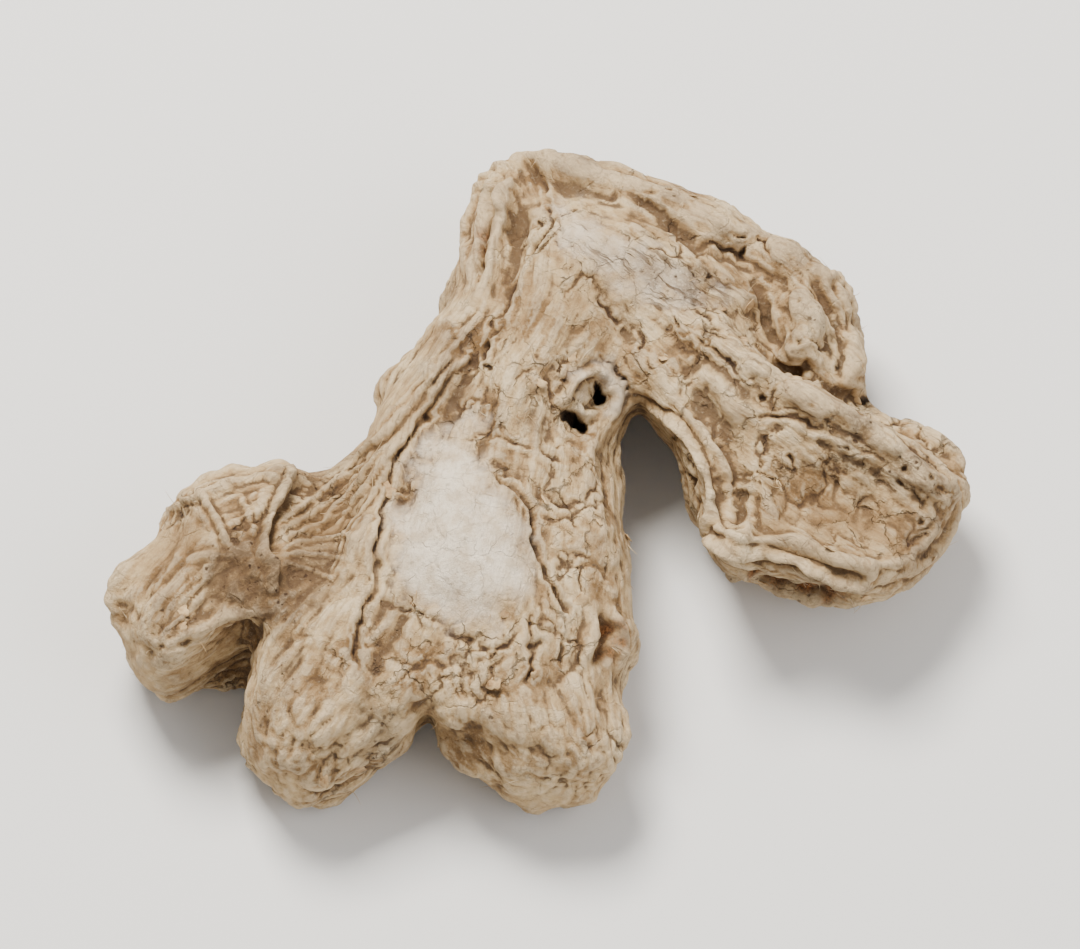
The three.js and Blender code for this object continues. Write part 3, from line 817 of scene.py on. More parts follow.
relief = skin_height()
settle(skin, relief)
apply_modifier(skin, "SMOOTH", factor=LAST_SMOOTHING, iterations=1)
print(f"The relief goes from {relief.min():.2f} to {relief.max():.2f} mm")


# %% [markdown]
# ## Marks for the material
#
# The material paints shade into the skin's colour: darker where the skin dips, as painted shade in
# the cracks, the folds and the broad dips, and paler on the ridges. The mesh knows where it dips best.
# A relaxed copy of the surface is compared with the real one: where the copy lies further out, the
# skin is hollow. Three amounts of relaxing find the cracks, the folds and the broad dips.
# All marks are kept as attributes of the points, so they follow the skin wherever it goes.

# %% Measure how hollow the skin is
RELAXING = [(2, 1.3), (12, 1.1), (90, 0.7)]      # passes, and how much each counts
HOLLOW_RANGE = 4            # this many standard deviations count as fully hollow


def how_hollow(piece):
    pairs = read_pairs(piece)
    here = read_points(piece)
    out = read_normals(piece)
    total = np.zeros(len(here))
    for passes, weight in RELAXING:
        dip = np.sum((relax(here, pairs, passes) - here) * out, axis=1)
        print(f"After {passes} passes the dips are {dip.std():.3f} mm deep on average")
        total += weight * dip / dip.std()
    return np.clip(total / HOLLOW_RANGE, -1, 1)


# The material reads this mark to paint shade into the dips and to make the ridges paler.
hollow_shade = how_hollow(skin)


# %% Where the skin is torn, dirty, scratched or dull, and where shade is painted on it
TORN_SPOTS = [(607, 343, 3), (613, 345, 4), (620, 347, 4), (627, 349, 3), (562, 358, 3), (562, 365, 3),
              (522, 247, 2), (523, 240, 2)]
# Spots of dirt, and on the side finger's lobe painted shade, both laid over in earth brown.
DIRT_AND_SHADE_SPOTS = [(588, 256, 9), (574, 251, 5), (453, 341, 13), (468, 346, 12), (476, 338, 9), (652, 312, 8),
              (636, 304, 6), (655, 329, 6), (500, 352, 5), (538, 300, 5)]
SCRATCHED_SPOTS = [(556, 240, 7), (566, 246, 10), (578, 252, 11), (590, 258, 9), (600, 263, 6)]
DULL_AND_SHADE_SPOTS = [
    # an x, a y and a radius in pixels, and how brown it is painted: its own dull tone and painted shade
    (474, 328, 9, 0.85), (466, 342, 9, 0.95), (455, 341, 10, 0.95), (438, 335, 13, 0.40), (500, 295, 8, 0.40),
    (488, 312, 9, 0.45), (480, 325, 9, 0.50), (555, 268, 11, 0.45), (540, 262, 8, 0.30), (566, 248, 8, 0.30),
    (630, 325, 13, 0.60), (612, 322, 8, 0.50), (648, 332, 9, 0.50),
]

torn = (1 - smooth_step(outside_discs(TORN_SPOTS) + 0.5 * tatters, -1.0, 0.5)) * facing_up
dirt_and_shade = 1 - smooth_step(outside_discs(DIRT_AND_SHADE_SPOTS, wander=1.0), -2.0, 1.2)
dull_and_shade = np.zeros(len(points))
for x, y, radius, strength in DULL_AND_SHADE_SPOTS:
    spread = 1 - smooth_step(outside_discs([(x, y, radius)], wander=1.2), -3.0, 3.0)
    dull_and_shade = np.maximum(dull_and_shade, strength * spread * facing_up)
stain = smooth_step(noise_on_skin(6, 41) + 0.3 * noise_on_skin(2, 42), 0.18, 0.5)
dirt_and_shade = np.maximum(dirt_and_shade * facing_up, 0.5 * stain * (1 - bare) * (1 - 0.7 * plated))
scratched = (1 - smooth_step(outside_discs(SCRATCHED_SPOTS, wander=1.0), -2.2, 0.8)) * facing_up
print(f"Torn: {torn.mean():.1%}, dirty: {dirt_and_shade.mean():.1%}, scratched: {scratched.mean():.1%} of the skin")


# %% Keep the marks on the mesh
def keep(piece, name, values):
    kind, field = ("FLOAT", "value") if values.ndim == 1 else ("FLOAT_VECTOR", "vector")
    attribute = piece.data.attributes.new(name, kind, "POINT")
    attribute.data.foreach_set(field, np.ascontiguousarray(values, dtype=np.float32).ravel())


# The hollow mark carries painted shade, the pit mark painted shade in the deep pits, and the dirt and dull
# marks painted shade in part.
skin_marks = {
    "hollow_shade": hollow_shade,
    "crack": np.maximum(crack_mark, 0.6 * plate_mark),
    "cord": cord_mark,
    "bare": bare,
    "plated": np.maximum(broken, 0.8 * plated) * (1 - bare) * (1 - 0.7 * cord_mark),
    "scratched": scratched,
    "scar": scar_mark,
    "torn": torn,
    "dirt_and_shade": dirt_and_shade,
    "dull_and_shade": dull_and_shade,
    "pit": pit_shade_and_spots,
    "flow_a": places[0],
    "flow_b": places[1],
    "flow_c": places[2],
    "share": (shares * off_tips).T,
}
for name, values in skin_marks.items():
    keep(skin, name, values)
print("Attributes:", ", ".join(a.name for a in skin.data.attributes if not a.name.startswith(".")))


# %% Thin the mesh where it is flat
MOST_TRIANGLES = 196000

apply_modifier(skin, "DECIMATE", ratio=MOST_TRIANGLES / len(skin.data.polygons))
print(f"The skin is left with {len(skin.data.polygons)} triangles")


# %% [markdown]
# ## The material's building blocks
#
# A material is a tree of nodes. These helpers add a node, link what is a socket, and set what is a
# number. Each effect is a node group with named sockets, built once and used with its own values: the
# grain that follows the fingers, the crackle, the specks and the scratches.

# %% Colours and nodes
def screen_colour(red, green, blue):
    """A colour as it looks on screen, from 0 to 255, turned into light."""
    return tuple((value / 255) ** 2.2 for value in (red, green, blue)) + (1.0,)


def fill_sockets(tree, made, sockets):
    """Links what is a socket, sets what is a number, and lays the nodes out in rows."""
    made.location = (200 * (len(tree.nodes) % 10), -260 * (len(tree.nodes) // 10))
    for name, value in sockets.items():
        if isinstance(value, bpy.types.NodeSocket):
            tree.links.new(value, made.inputs[name])
        else:
            made.inputs[name].default_value = value


def add_node(tree, kind, sockets=None, **settings):
    made = tree.nodes.new("ShaderNode" + kind)
    for name, value in settings.items():
        setattr(made, name, value)
    fill_sockets(tree, made, sockets or {})
    return made


print("On screen 128 is half way, but as light it is", round(screen_colour(128, 0, 0)[0], 2))


# %% Sums, mixes and steps
def calculate(tree, operation, first, second=0.0):
    return add_node(tree, "Math", {0: first, 1: second}, operation=operation).outputs[0]


def fit(tree, value, low, high, to_low=0.0, to_high=1.0):
    """Fits a value that runs from low to high to another range, with soft ends."""
    sockets = {"Value": value, "From Min": low, "From Max": high, "To Min": to_low, "To Max": to_high}
    return add_node(tree, "MapRange", sockets, interpolation_type="SMOOTHSTEP").outputs[0]


def fade_out(tree, value, full, none):
    """1 below full and 0 above none, with a straight slope between them."""
    sockets = {"Value": value, "From Min": full, "From Max": none, "To Min": 1.0, "To Max": 0.0}
    return add_node(tree, "MapRange", sockets).outputs[0]


def mix_colours(tree, share, first, second):
    return add_node(tree, "Mix", {0: share, 6: first, 7: second}, data_type="RGBA").outputs[2]


def lay_over(tree, colour, mask, top, at_most):
    """Lays a colour over another where the mask is 1, but never more of it than at_most."""
    return mix_colours(tree, calculate(tree, "MULTIPLY", mask, at_most), colour, top)


def colour_steps(tree, value, steps):
    made = add_node(tree, "ValToRGB", {0: value})
    ramp = made.color_ramp
    while len(ramp.elements) < len(steps):
        ramp.elements.new(0.5)
    for element, (place, colour) in zip(ramp.elements, steps):
        element.position = place
        element.color = colour
    return made.outputs[0]


# %% Places, and patterns on them
def mark(tree, name):
    return add_node(tree, "Attribute", attribute_name=name).outputs["Fac"]


def place_in_mm(tree):
    object_place = add_node(tree, "TexCoord").outputs["Object"]
    return add_node(tree, "VectorMath", {0: object_place, "Scale": 1 / MM}, operation="SCALE").outputs[0]


def cloud(tree, place, scale, detail, roughness=0.5):
    sockets = {"Vector": place, "Scale": scale, "Detail": detail, "Roughness": roughness}
    return add_node(tree, "TexNoise", sockets).outputs


def bend_place(tree, place, scale, detail, push):
    """Pushes a place about by noise, so that a pattern there doesn't look ruled."""
    push_by = cloud(tree, place, scale, detail)["Color"]
    pushed = add_node(tree, "VectorMath", {0: push_by, "Scale": push}, operation="SCALE").outputs[0]
    return add_node(tree, "VectorMath", {0: place, 1: pushed}, operation="ADD").outputs[0]


def measure_in(tree, place, unit):
    """The same place, measured in another unit, so that a pattern gets that size."""
    inverse = calculate(tree, "DIVIDE", 1.0, unit)
    return add_node(tree, "VectorMath", {0: place, "Scale": inverse}, operation="SCALE").outputs[0]


# %% Groups and materials
def new_group(name, inputs, outputs):
    tree = bpy.data.node_groups.new(name, "ShaderNodeTree")
    for label, kind in inputs:
        tree.interface.new_socket(label, in_out="INPUT", socket_type="NodeSocket" + kind)
    for label in outputs:
        tree.interface.new_socket(label, in_out="OUTPUT", socket_type="NodeSocketFloat")
    start = tree.nodes.new("NodeGroupInput")
    end = tree.nodes.new("NodeGroupOutput")
    end.location = (2200, 0)
    return tree, start.outputs, end.inputs


def use_group(tree, group, sockets):
    made = tree.nodes.new("ShaderNodeGroup")
    made.node_tree = group
    fill_sockets(tree, made, sockets)
    return made.outputs


def new_material(name):
    """A new material, its node tree and the sockets of its Principled shader."""
    material = bpy.data.materials.new(name)
    material.use_nodes = True
    tree = material.node_tree
    return material, tree, tree.nodes["Principled BSDF"].inputs


# %% Grain that follows the fingers
def make_flow_noise():
    """Noise drawn out along a finger: Spacing and Length are the size of its streaks."""
    tree, given, put_out = new_group(
        "flow_noise", [("Place", "Vector"), ("Spacing", "Float"), ("Length", "Float")], ["Fibre"])
    across = calculate(tree, "DIVIDE", 1.0, given["Spacing"])
    along = calculate(tree, "DIVIDE", 1.0, given["Length"])
    scale = add_node(tree, "CombineXYZ", {0: across, 1: across, 2: along}).outputs[0]
    scaled = add_node(tree, "VectorMath", {0: given["Place"], 1: scale}, operation="MULTIPLY").outputs[0]
    tree.links.new(cloud(tree, scaled, 1.0, 3.0, 0.6)["Fac"], put_out["Fibre"])
    return tree


def make_finger_grain():
    """The three groups of fingers each have their own grain, mixed by their share of the skin."""
    tree, given, put_out = new_group(
        "finger_grain", [("Spacing", "Float"), ("Length", "Float")], ["Fibre"])
    share = add_node(tree, "Attribute", attribute_name="share").outputs["Vector"]
    parts = add_node(tree, "SeparateXYZ", {0: share}).outputs
    total = 0.5
    for index, letter in enumerate("abc"):
        place = add_node(tree, "Attribute", attribute_name="flow_" + letter).outputs["Vector"]
        sockets = {"Place": place, "Spacing": given["Spacing"], "Length": given["Length"]}
        fibre = calculate(tree, "SUBTRACT", use_group(tree, FLOW_NOISE, sockets)["Fibre"], 0.5)
        weighed = calculate(tree, "MULTIPLY", fibre, parts[index])
        total = calculate(tree, "ADD", weighed, total)
    tree.links.new(total, put_out["Fibre"])
    return tree


FLOW_NOISE = make_flow_noise()
FINGER_GRAIN = make_finger_grain()
print("Group:", FINGER_GRAIN.name)


# %% Crackle and specks
def make_crackle():
    """Thin lines round plates of the given Size, and a Tint that differs from plate to plate."""
    tree, given, put_out = new_group(
        "crackle", [("Place", "Vector"), ("Size", "Float"), ("Width", "Float")], ["Line", "Tint"])
    bent = bend_place(tree, given["Place"], scale=0.9, detail=4.0, push=1.6)
    spot = measure_in(tree, bent, given["Size"])
    edges = add_node(tree, "TexVoronoi", {"Vector": spot, "Scale": 1.0}, feature="DISTANCE_TO_EDGE")
    line = fade_out(tree, edges.outputs["Distance"], 0.0, given["Width"])
    plates = add_node(tree, "TexVoronoi", {"Vector": spot, "Scale": 1.0})
    tint = add_node(tree, "SeparateColor", {0: plates.outputs["Color"]}).outputs[0]
    tree.links.new(line, put_out["Line"])
    tree.links.new(tint, put_out["Tint"])
    return tree


def make_specks():
    """Dots about Spacing apart, some of them larger than others. Size is a share of the spacing."""
    tree, given, put_out = new_group(
        "specks", [("Place", "Vector"), ("Spacing", "Float"), ("Size", "Float")], ["Speck"])
    bent = bend_place(tree, given["Place"], scale=2.5, detail=2.0, push=0.5)
    spot = measure_in(tree, bent, given["Spacing"])
    dots = add_node(tree, "TexVoronoi", {"Vector": spot, "Scale": 1.0})
    draw = add_node(tree, "SeparateColor", {0: dots.outputs["Color"]}).outputs[0]
    reach = calculate(tree, "MULTIPLY", given["Size"], draw)
    inner = calculate(tree, "MULTIPLY", reach, 0.5)
    tree.links.new(fade_out(tree, dots.outputs["Distance"], inner, reach), put_out["Speck"])
    return tree


CRACKLE = make_crackle()
SPECKS = make_specks()
print("Groups:", CRACKLE.name, "and", SPECKS.name)


# %% Scratches
SCRAPED = (0.81, -0.58, 0.0)       # towards the lower right of the photograph
ACROSS = (0.58, 0.81, 0.0)


def make_scratches():
    """Thin strokes that all run the way in which the crown was scraped."""
    tree, given, put_out = new_group("scratches", [("Place", "Vector"), ("Spacing", "Float")], ["Stroke"])
    place = bend_place(tree, given["Place"], scale=0.8, detail=2.0, push=0.8)
    along = add_node(tree, "VectorMath", {0: place, 1: SCRAPED}, operation="DOT_PRODUCT").outputs["Value"]
    across = add_node(tree, "VectorMath", {0: place, 1: ACROSS}, operation="DOT_PRODUCT").outputs["Value"]
    wide = calculate(tree, "DIVIDE", across, given["Spacing"])
    long = calculate(tree, "DIVIDE", along, calculate(tree, "MULTIPLY", given["Spacing"], 8.0))
    spot = add_node(tree, "CombineXYZ", {0: wide, 1: long}).outputs[0]
    streaks = cloud(tree, spot, 1.0, 2.5, 0.55)["Fac"]
    tree.links.new(fit(tree, streaks, 0.54, 0.61), put_out["Stroke"])
    return tree


SCRATCHES = make_scratches()
print("Group:", SCRATCHES.name)


# %% [markdown]
# ## The dried skin
#
# Dried ginger is chalky and has no shine. Its tans run from brown to cream, and the material paints
# the folds darker, as painted shade, and the ridges paler. The scraped patches are nearly white, the
# cracks are dark, and the torn hollows are orange brown. The colours were picked, and then matched to the
# photograph patch by patch.

# %% The colours
BROWN = screen_colour(124, 95, 62)
TAN = screen_colour(172, 141, 101)
STRAW = screen_colour(195, 165, 122)
CREAM = screen_colour(215, 190, 149)
RUBBED = screen_colour(225, 204, 168)
BARE = screen_colour(232, 216, 192)
BARE_SHADE = screen_colour(208, 188, 160)
# Also the painted shade in the deepest dips, and the colour of the scratches.
CREVICE = screen_colour(92, 71, 51)
CRACK = screen_colour(62, 45, 33)
# Dirt, and painted shade on the side finger's lobe.
EARTH_AND_SHADE = screen_colour(84, 66, 50)
TORN = screen_colour(150, 98, 56)
TORN_DEEP = screen_colour(62, 38, 22)
# The painted shade inside the pits.
HOLE_SHADE = screen_colour(34, 22, 14)
print(f"In the folds {BROWN[0]:.0%} of red light comes back, and {RUBBED[0]:.0%} on the ridges")


# %% Patches, ridges and dips
def colour_of_the_skin(tree, place, fibre, streak, tint, grit, hollow_shade):
    """The whole skin: patches of tan, paler ridges, and dips painted darker in two steps as painted shade."""
    patches = cloud(tree, place, 0.22, 8.0, 0.72)["Fac"]
    tone = calculate(tree, "ADD", patches, fit(tree, streak, 0.35, 0.65, -0.045, 0.045))
    tone = calculate(tree, "ADD", tone, fit(tree, tint, 0.0, 1.0, -0.05, 0.05))
    colour = colour_steps(tree, tone, [(0.34, BROWN), (0.45, TAN), (0.55, STRAW), (0.68, CREAM)])
    grainy = calculate(tree, "ADD", hollow_shade, fit(tree, grit, 0.25, 0.75, -0.28, 0.28))
    ridge = fit(tree, grainy, -0.05, -0.75)
    # Painted shade: the dips are laid over with brown, and the deepest with the crevice colour.
    soft_dip_shade = fit(tree, grainy, -0.05, 0.6)
    deep_dip_shade = fit(tree, grainy, 0.20, 0.85)
    colour = lay_over(tree, colour, ridge, RUBBED, at_most=0.45)
    colour = lay_over(tree, colour, fit(tree, fibre, 0.52, 0.34), BROWN, at_most=0.45)
    colour = lay_over(tree, colour, soft_dip_shade, BROWN, at_most=0.40)
    return lay_over(tree, colour, deep_dip_shade, CREVICE, at_most=0.85)


def bare_colour(tree, place):
    shade = fit(tree, cloud(tree, place, 0.7, 6.0, 0.7)["Fac"], 0.60, 0.36)
    return mix_colours(tree, shade, BARE, BARE_SHADE)


def thin_lines(tree, place, grit):
    """The edges of the plates: two sizes, that widen, narrow and stop, mostly where the skin is plated."""
    width = cloud(tree, place, 0.55, 3.0)["Fac"]
    wide = fit(tree, width, 0.45, 0.68, 0.003, 0.075)
    narrow = fit(tree, width, 0.44, 0.28, 0.004, 0.10)
    large = use_group(tree, CRACKLE, {"Place": place, "Size": 3.9, "Width": wide})
    small = use_group(tree, CRACKLE, {"Place": place, "Size": 1.6, "Width": narrow})
    both = calculate(tree, "MAXIMUM", large["Line"], calculate(tree, "MULTIPLY", small["Line"], 0.6))
    here = calculate(tree, "MULTIPLY", both, fit(tree, mark(tree, "plated"), 0.05, 0.7, 0.3, 1.0))
    return calculate(tree, "MULTIPLY", here, fit(tree, grit, 0.30, 0.50, 0.35, 1.0)), large["Tint"]


# %% What lies on the skin
SKIN_BUMP = 0.28 * MM       # how high the material's own relief is


# Lays dirt, and painted shade on the side finger's lobe, over the skin in earth brown, then adds the specks.
def dirty_and_shaded_colour(tree, colour, grit, specked):
    dust_and_shade = calculate(tree, "MULTIPLY", mark(tree, "dirt_and_shade"), fit(tree, grit, 0.72, 0.42))
    colour = lay_over(tree, colour, dust_and_shade, EARTH_AND_SHADE, at_most=0.72)
    return mix_colours(tree, specked, colour, CRACK)


def broken_colour(tree, colour, grit, lines, strokes):
    """The thin lines, the scratches, the cracks, the torn hollows and the painted shade in the pits, one on
    top of another.
    """
    colour = lay_over(tree, colour, lines, CRACK, at_most=0.62)
    colour = lay_over(tree, colour, strokes, CREVICE, at_most=0.85)
    ragged = calculate(tree, "ADD", mark(tree, "crack"), fit(tree, grit, 0.3, 0.7, -0.2, 0.2))
    colour = lay_over(tree, colour, fit(tree, ragged, 0.35, 0.85), CRACK, at_most=0.85)
    torn_colour = mix_colours(tree, fit(tree, grit, 0.58, 0.42), TORN, TORN_DEEP)
    colour = mix_colours(tree, mark(tree, "torn"), colour, torn_colour)
    return mix_colours(tree, mark(tree, "pit"), colour, HOLE_SHADE)


def fine_relief(tree, fibre, grit, lines, strokes, specked):
    """What is finer than the mesh: fibres and grit stand up, and lines, scratches and specks are cut in."""
    height = 0.0
    for pattern, tall in ((fibre, 0.9), (grit, 1.1), (lines, -1.3), (strokes, -0.8), (specked, -0.3)):
        height = calculate(tree, "ADD", calculate(tree, "MULTIPLY", pattern, tall), height)
    return add_node(tree, "Bump", {"Height": height, "Strength": 0.9, "Distance": SKIN_BUMP}).outputs[0]


# %% Put the skin's material together
def make_dried_skin():
    material, tree, shader = new_material("dried_skin")
    place = place_in_mm(tree)
    fibre = use_group(tree, FINGER_GRAIN, {"Spacing": 0.34, "Length": 5.0})["Fibre"]
    streak = use_group(tree, FINGER_GRAIN, {"Spacing": 1.3, "Length": 14.0})["Fibre"]
    grit = cloud(tree, place, 2.6, 6.0, 0.78)["Fac"]
    lines, tint = thin_lines(tree, place, grit)
    specks = use_group(tree, SPECKS, {"Place": place, "Spacing": 0.75, "Size": 0.34})["Speck"]
    specked = calculate(tree, "MULTIPLY", specks, fit(tree, mark(tree, "dirt_and_shade"), 0.0, 0.7, 0.22, 0.9))
    strokes = use_group(tree, SCRATCHES, {"Place": place, "Spacing": 0.46})["Stroke"]
    strokes = calculate(tree, "MULTIPLY", strokes, mark(tree, "scratched"))
    # The lobe, the flank and parts of the crown and the arm are painted browner: partly their own duller
    # tone, partly painted shade.
    uneven = calculate(tree, "MULTIPLY", mark(tree, "dull_and_shade"), fit(tree, streak, 0.35, 0.65, 0.60, 0.95))

    colour = colour_of_the_skin(tree, place, fibre, streak, tint, grit, mark(tree, "hollow_shade"))
    colour = lay_over(tree, colour, fit(tree, grit, 0.50, 0.28), BROWN, at_most=0.34)
    colour = lay_over(tree, colour, fit(tree, grit, 0.52, 0.72), RUBBED, at_most=0.30)
    colour = mix_colours(tree, mark(tree, "bare"), colour, bare_colour(tree, place))
    colour = mix_colours(tree, uneven, colour, BROWN)
    colour = dirty_and_shaded_colour(tree, colour, grit, specked)
    colour = broken_colour(tree, colour, grit, lines, strokes)
    tree.links.new(colour, shader["Base Color"])
    tree.links.new(fit(tree, grit, 0.3, 0.7, 0.84, 0.98), shader["Roughness"])
    tree.links.new(fine_relief(tree, fibre, grit, lines, strokes, specked), shader["Normal"])
    shader["Specular IOR Level"].default_value = 0.25
    return material


dried_skin = make_dried_skin()
skin.data.materials.append(dried_skin)
print(f"The skin's material has {len(dried_skin.node_tree.nodes)} nodes")


# %% [markdown]
# ## Loose fibres and papery flakes
#
# Ginger is full of fibres. Where the skin is scraped, torn or scarred, short ends of them stand out,
# and small flakes of the papery skin come loose. They could be hair particles, but those aren't
# part of the mesh. So one fibre and one flake are modelled, bent, and then copied to places that are
# drawn from the skin with a fixed seed. A place is more likely near a scar, a torn edge or a rim.
# Each copy is turned at random, leans a little off the skin and sinks into it at one end.

# %% Model one fibre
FIBRE_RISE = 0.16           # how far its end bends up and its middle to the side, as shares of its length
FIBRE_SWAY = 0.07


def finish_model(piece, material):
    bpy.ops.object.shade_smooth()
    piece.data.materials.append(material)
    return piece


def make_fibre_material():
    material, tree, shader = new_material("dry_fibre")
    tones = cloud(tree, place_in_mm(tree), 0.5, 4.0)["Fac"]
    colour = colour_steps(tree, tones, [(0.35, TAN), (0.50, STRAW), (0.65, RUBBED)])
    tree.links.new(colour, shader["Base Color"])
    shader["Roughness"].default_value = 0.8
    shader["Specular IOR Level"].default_value = 0.3
    return material


def model_fibre(material):
    """A bristle of length 1 along X. It is three-sided, gets thin at its far end, and bends up."""
    bpy.ops.mesh.primitive_cone_add(vertices=3, radius1=0.022, radius2=0.006, depth=1,
                                    location=(0.5, 0, 0), rotation=(0, math.pi / 2, 0))
    bpy.ops.object.transform_apply(location=True, rotation=True, scale=True)
    fibre = bpy.context.object
    fibre.name = "fibre_model"
    bpy.ops.object.mode_set(mode="EDIT")
    bpy.ops.mesh.select_mode(type="EDGE")
    bpy.ops.mesh.select_all(action="DESELECT")
    bpy.ops.object.mode_set(mode="OBJECT")
    for edge in fibre.data.edges:
        first, second = (fibre.data.vertices[end].co.x for end in edge.vertices)
        edge.select = abs(first - second) > 0.5
    bpy.ops.object.mode_set(mode="EDIT")
    bpy.ops.mesh.subdivide(number_cuts=5)
    bpy.ops.object.mode_set(mode="OBJECT")
    for vertex in fibre.data.vertices:
        x = vertex.co.x
        vertex.co.z += FIBRE_RISE * x * x
        vertex.co.y += FIBRE_SWAY * math.sin(3.4 * x)
    return finish_model(fibre, material)


fibre_model = model_fibre(make_fibre_material())
print(f"A fibre has {len(fibre_model.data.polygons)} faces")


# %% Model one flake
FLAKE_NARROW = 0.75         # its width, as a share of a round one's
FLAKE_RAGGED = 0.9          # how far its edge goes in and out
FLAKE_CURL = 0.22           # how far its end rises, and then its sides, as shares of its length
FLAKE_CUP = 0.10
FLAKE_THICKNESS = 0.05


def make_flake_material():
    material, tree, shader = new_material("papery_skin")
    tones = cloud(tree, place_in_mm(tree), 0.9, 6.0, 0.7)["Fac"]
    colour = colour_steps(tree, tones, [(0.36, BROWN), (0.48, TAN), (0.60, STRAW), (0.72, CREAM)])
    tree.links.new(colour, shader["Base Color"])
    shader["Roughness"].default_value = 0.9
    bump = add_node(tree, "Bump", {"Height": tones, "Strength": 0.6, "Distance": 0.1 * MM})
    tree.links.new(bump.outputs[0], shader["Normal"])
    return material


def model_flake(material):
    """A chip of skin of length 1 along X, thin, with a ragged outline and a curled far edge."""
    bpy.ops.mesh.primitive_circle_add(vertices=9, radius=0.5, fill_type="TRIFAN", location=(0.5, 0, 0))
    bpy.ops.object.transform_apply(location=True)
    bpy.ops.object.mode_set(mode="EDIT")
    bpy.ops.mesh.select_all(action="SELECT")
    bpy.ops.mesh.subdivide(number_cuts=1)
    bpy.ops.object.mode_set(mode="OBJECT")
    flake = bpy.context.object
    flake.name = "flake_model"
    for vertex in flake.data.vertices:
        x, y = vertex.co.x, vertex.co.y
        ragged = 1 + FLAKE_RAGGED * noise.noise((3.1 * x, 3.1 * y, 5.0))
        vertex.co.y = FLAKE_NARROW * y * ragged
        vertex.co.x = 0.5 + (x - 0.5) * ragged
        curled = FLAKE_CURL * max(0, x) ** 2 + FLAKE_CUP * y * y
        vertex.co.z = curled + 0.04 * noise.noise((4 * x, 4 * y, 1.0))
    apply_modifier(flake, "SOLIDIFY", thickness=FLAKE_THICKNESS, offset=0)
    return finish_model(flake, material)


flake_model = model_flake(make_flake_material())
print(f"A flake has {len(flake_model.data.polygons)} faces")


# %% Choose places for them
CLEAR_OF_FLOOR = 2.2        # nothing stands out lower than this, in millimetres


def read_mark(name):
    values = np.zeros(len(skin.data.vertices))
    skin.data.attributes[name].data.foreach_get("value", values)
    return values


def near_half(values):
    """1 where a mark is about a half, so on its edge, and 0 where it is none or full."""
    return np.clip(4 * values * (1 - values), 0, 1)


def draw_places(likely, count, seed):
    """Draws points of the skin, likelier ones more often, and keeps them off the floor."""
    chance = likely * (skin_points[:, 2] > CLEAR_OF_FLOOR) * (skin_normals[:, 2] > -0.4) + 1e-9
    picker = np.random.default_rng(seed)
    return picker.choice(len(chance), count, replace=False, p=chance / chance.sum())


skin_points = read_points(skin)
skin_normals = read_normals(skin)
edges = near_half(read_mark("bare"))
torn_edges = near_half(read_mark("torn"))
fibre_chance = 0.04 + 0.5 * torn_edges + 0.25 * near_half(read_mark("scar")) + 0.10 * edges
fibre_chance += 0.20 * near_half(read_mark("pit")) + 0.15 * (read_mark("cord") > 0.7)
flake_chance = 0.02 + 0.10 * edges + 0.10 * read_mark("plated") + 0.2 * torn_edges
flake_chance *= (1 - read_mark("bare")) ** 4
print(f"{(fibre_chance > 0.1).mean():.0%} of the points are likely places for a fibre")


# %% Copy the models to their places
FIBRES = 190
FLAKES = 44
SUNK = 0.09                 # how deep a copy's near end lies in the skin, in millimetres


def set_down(model, name, spots, shortest, longest, slimmest, lean):
    """Copies the model to the drawn spots, turned at random about the skin's normal, and joins them."""
    picker = random.Random(name)
    copies = []
    for spot in spots:
        up = Vector(skin_normals[spot])
        side = up.cross((picker.gauss(0, 1), picker.gauss(0, 1), picker.gauss(0, 1))).normalized()
        forward = (side + up * picker.uniform(*lean)).normalized()
        across = up.cross(forward).normalized()
        above = forward.cross(across)
        length = picker.uniform(shortest, longest)
        wide = max(length, slimmest) * picker.uniform(0.7, 1.2)
        copy = model.copy()
        copy.data = model.data.copy()
        bpy.context.collection.objects.link(copy)
        turned = Matrix((forward, across, above)).transposed().to_4x4()
        sizes = Matrix.Diagonal((length, wide, wide, 1)) * MM
        sizes[3][3] = 1
        start = Vector(skin_points[spot]) - up * SUNK - forward * 0.15 * length
        copy.matrix_world = Matrix.Translation(start * MM) @ turned @ sizes
        copies.append(copy)
    bpy.ops.object.select_all(action="DESELECT")
    for copy in copies:
        copy.select_set(True)
    bpy.context.view_layer.objects.active = copies[0]
    bpy.ops.object.transform_apply(location=True, rotation=True, scale=True)
    bpy.ops.object.join()
    piece = bpy.context.object
    piece.name = name
    bpy.data.objects.remove(model)
    return piece


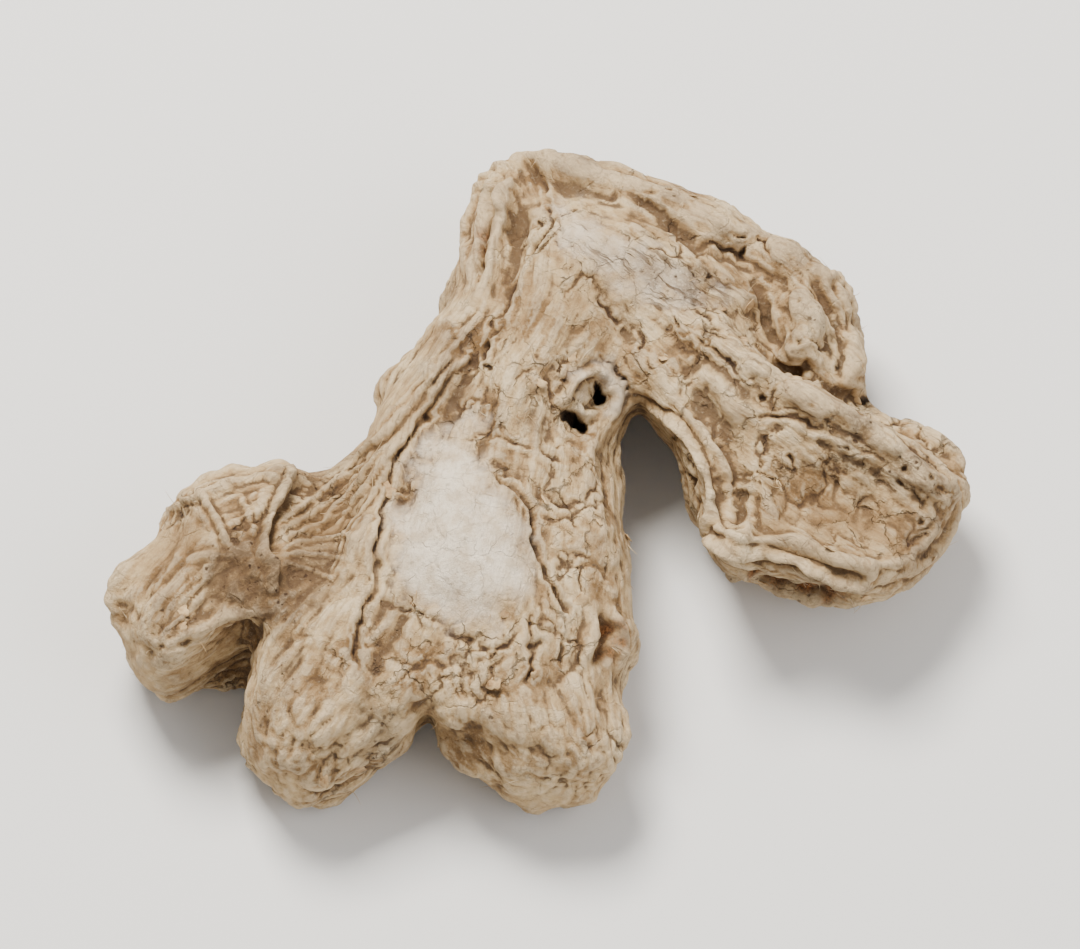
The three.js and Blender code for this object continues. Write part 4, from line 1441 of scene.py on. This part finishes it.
fibre_spots = draw_places(fibre_chance, FIBRES, 5)
flake_spots = draw_places(flake_chance, FLAKES, 6)
fibres = set_down(fibre_model, "loose_fibres", fibre_spots, 0.8, 2.3, 1.6, (0.03, 0.35))
flakes = set_down(flake_model, "papery_flakes", flake_spots, 0.6, 1.5, 0.6, (-0.05, 0.15))
print(f"{len(fibres.data.polygons)} faces of fibres and {len(flakes.data.polygons)} of flakes")


# %% [markdown]
# ## Floor, lights and the last calls
#
# The photograph was taken in soft light from above and from the left, so each fold has a soft shadow
# on its lower right. One large light gives that, and a weaker one from the right opens the shadows.

# %% Light the root
KEY_COLOUR = (1.0, 0.97, 0.92)
FILL_COLOUR = (0.97, 0.97, 1.0)
SKY_STRENGTH = 0.58


def area_light(name, place, width, power, colour):
    bpy.ops.object.light_add(type="AREA", location=place)
    light = bpy.context.object
    light.name = name
    light.data.size = width
    light.data.energy = power
    light.data.color = colour
    light.rotation_euler = (-Vector(place)).to_track_quat("-Z", "Y").to_euler()
    return light


key = area_light("key_light", (-0.13, 0.25, 0.50), width=0.22, power=7.7, colour=KEY_COLOUR)
fill = area_light("fill_light", (0.50, -0.20, 0.45), width=0.6, power=3.0, colour=FILL_COLOUR)
world = bpy.data.worlds.new("studio")
bpy.context.scene.world = world
world.use_nodes = True
sky = world.node_tree.nodes["Background"].inputs
sky["Color"].default_value = (1, 1, 1, 1)
sky["Strength"].default_value = SKY_STRENGTH
print(f"The key light gives {key.data.energy:.1f} W and the fill light {fill.data.energy:.1f} W")


# %% Lay the floor
def make_floor():
    bpy.ops.object.select_all(action="DESELECT")
    bpy.ops.mesh.primitive_plane_add(size=6, location=(0, 0, 0))
    floor = bpy.context.object
    floor.name = "floor"
    paper, _, shader = new_material("pale_floor")
    shader["Base Color"].default_value = screen_colour(222, 220, 216)
    shader["Roughness"].default_value = 0.9
    floor.data.materials.append(paper)
    return floor


floor = make_floor()
print(f"The floor is {floor.dimensions.x:.0f} m wide")


# %% Tie the pieces to the frame
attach(skin, "root")
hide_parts("ginger_root")
for piece in (fibres, flakes):
    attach(piece, "root")
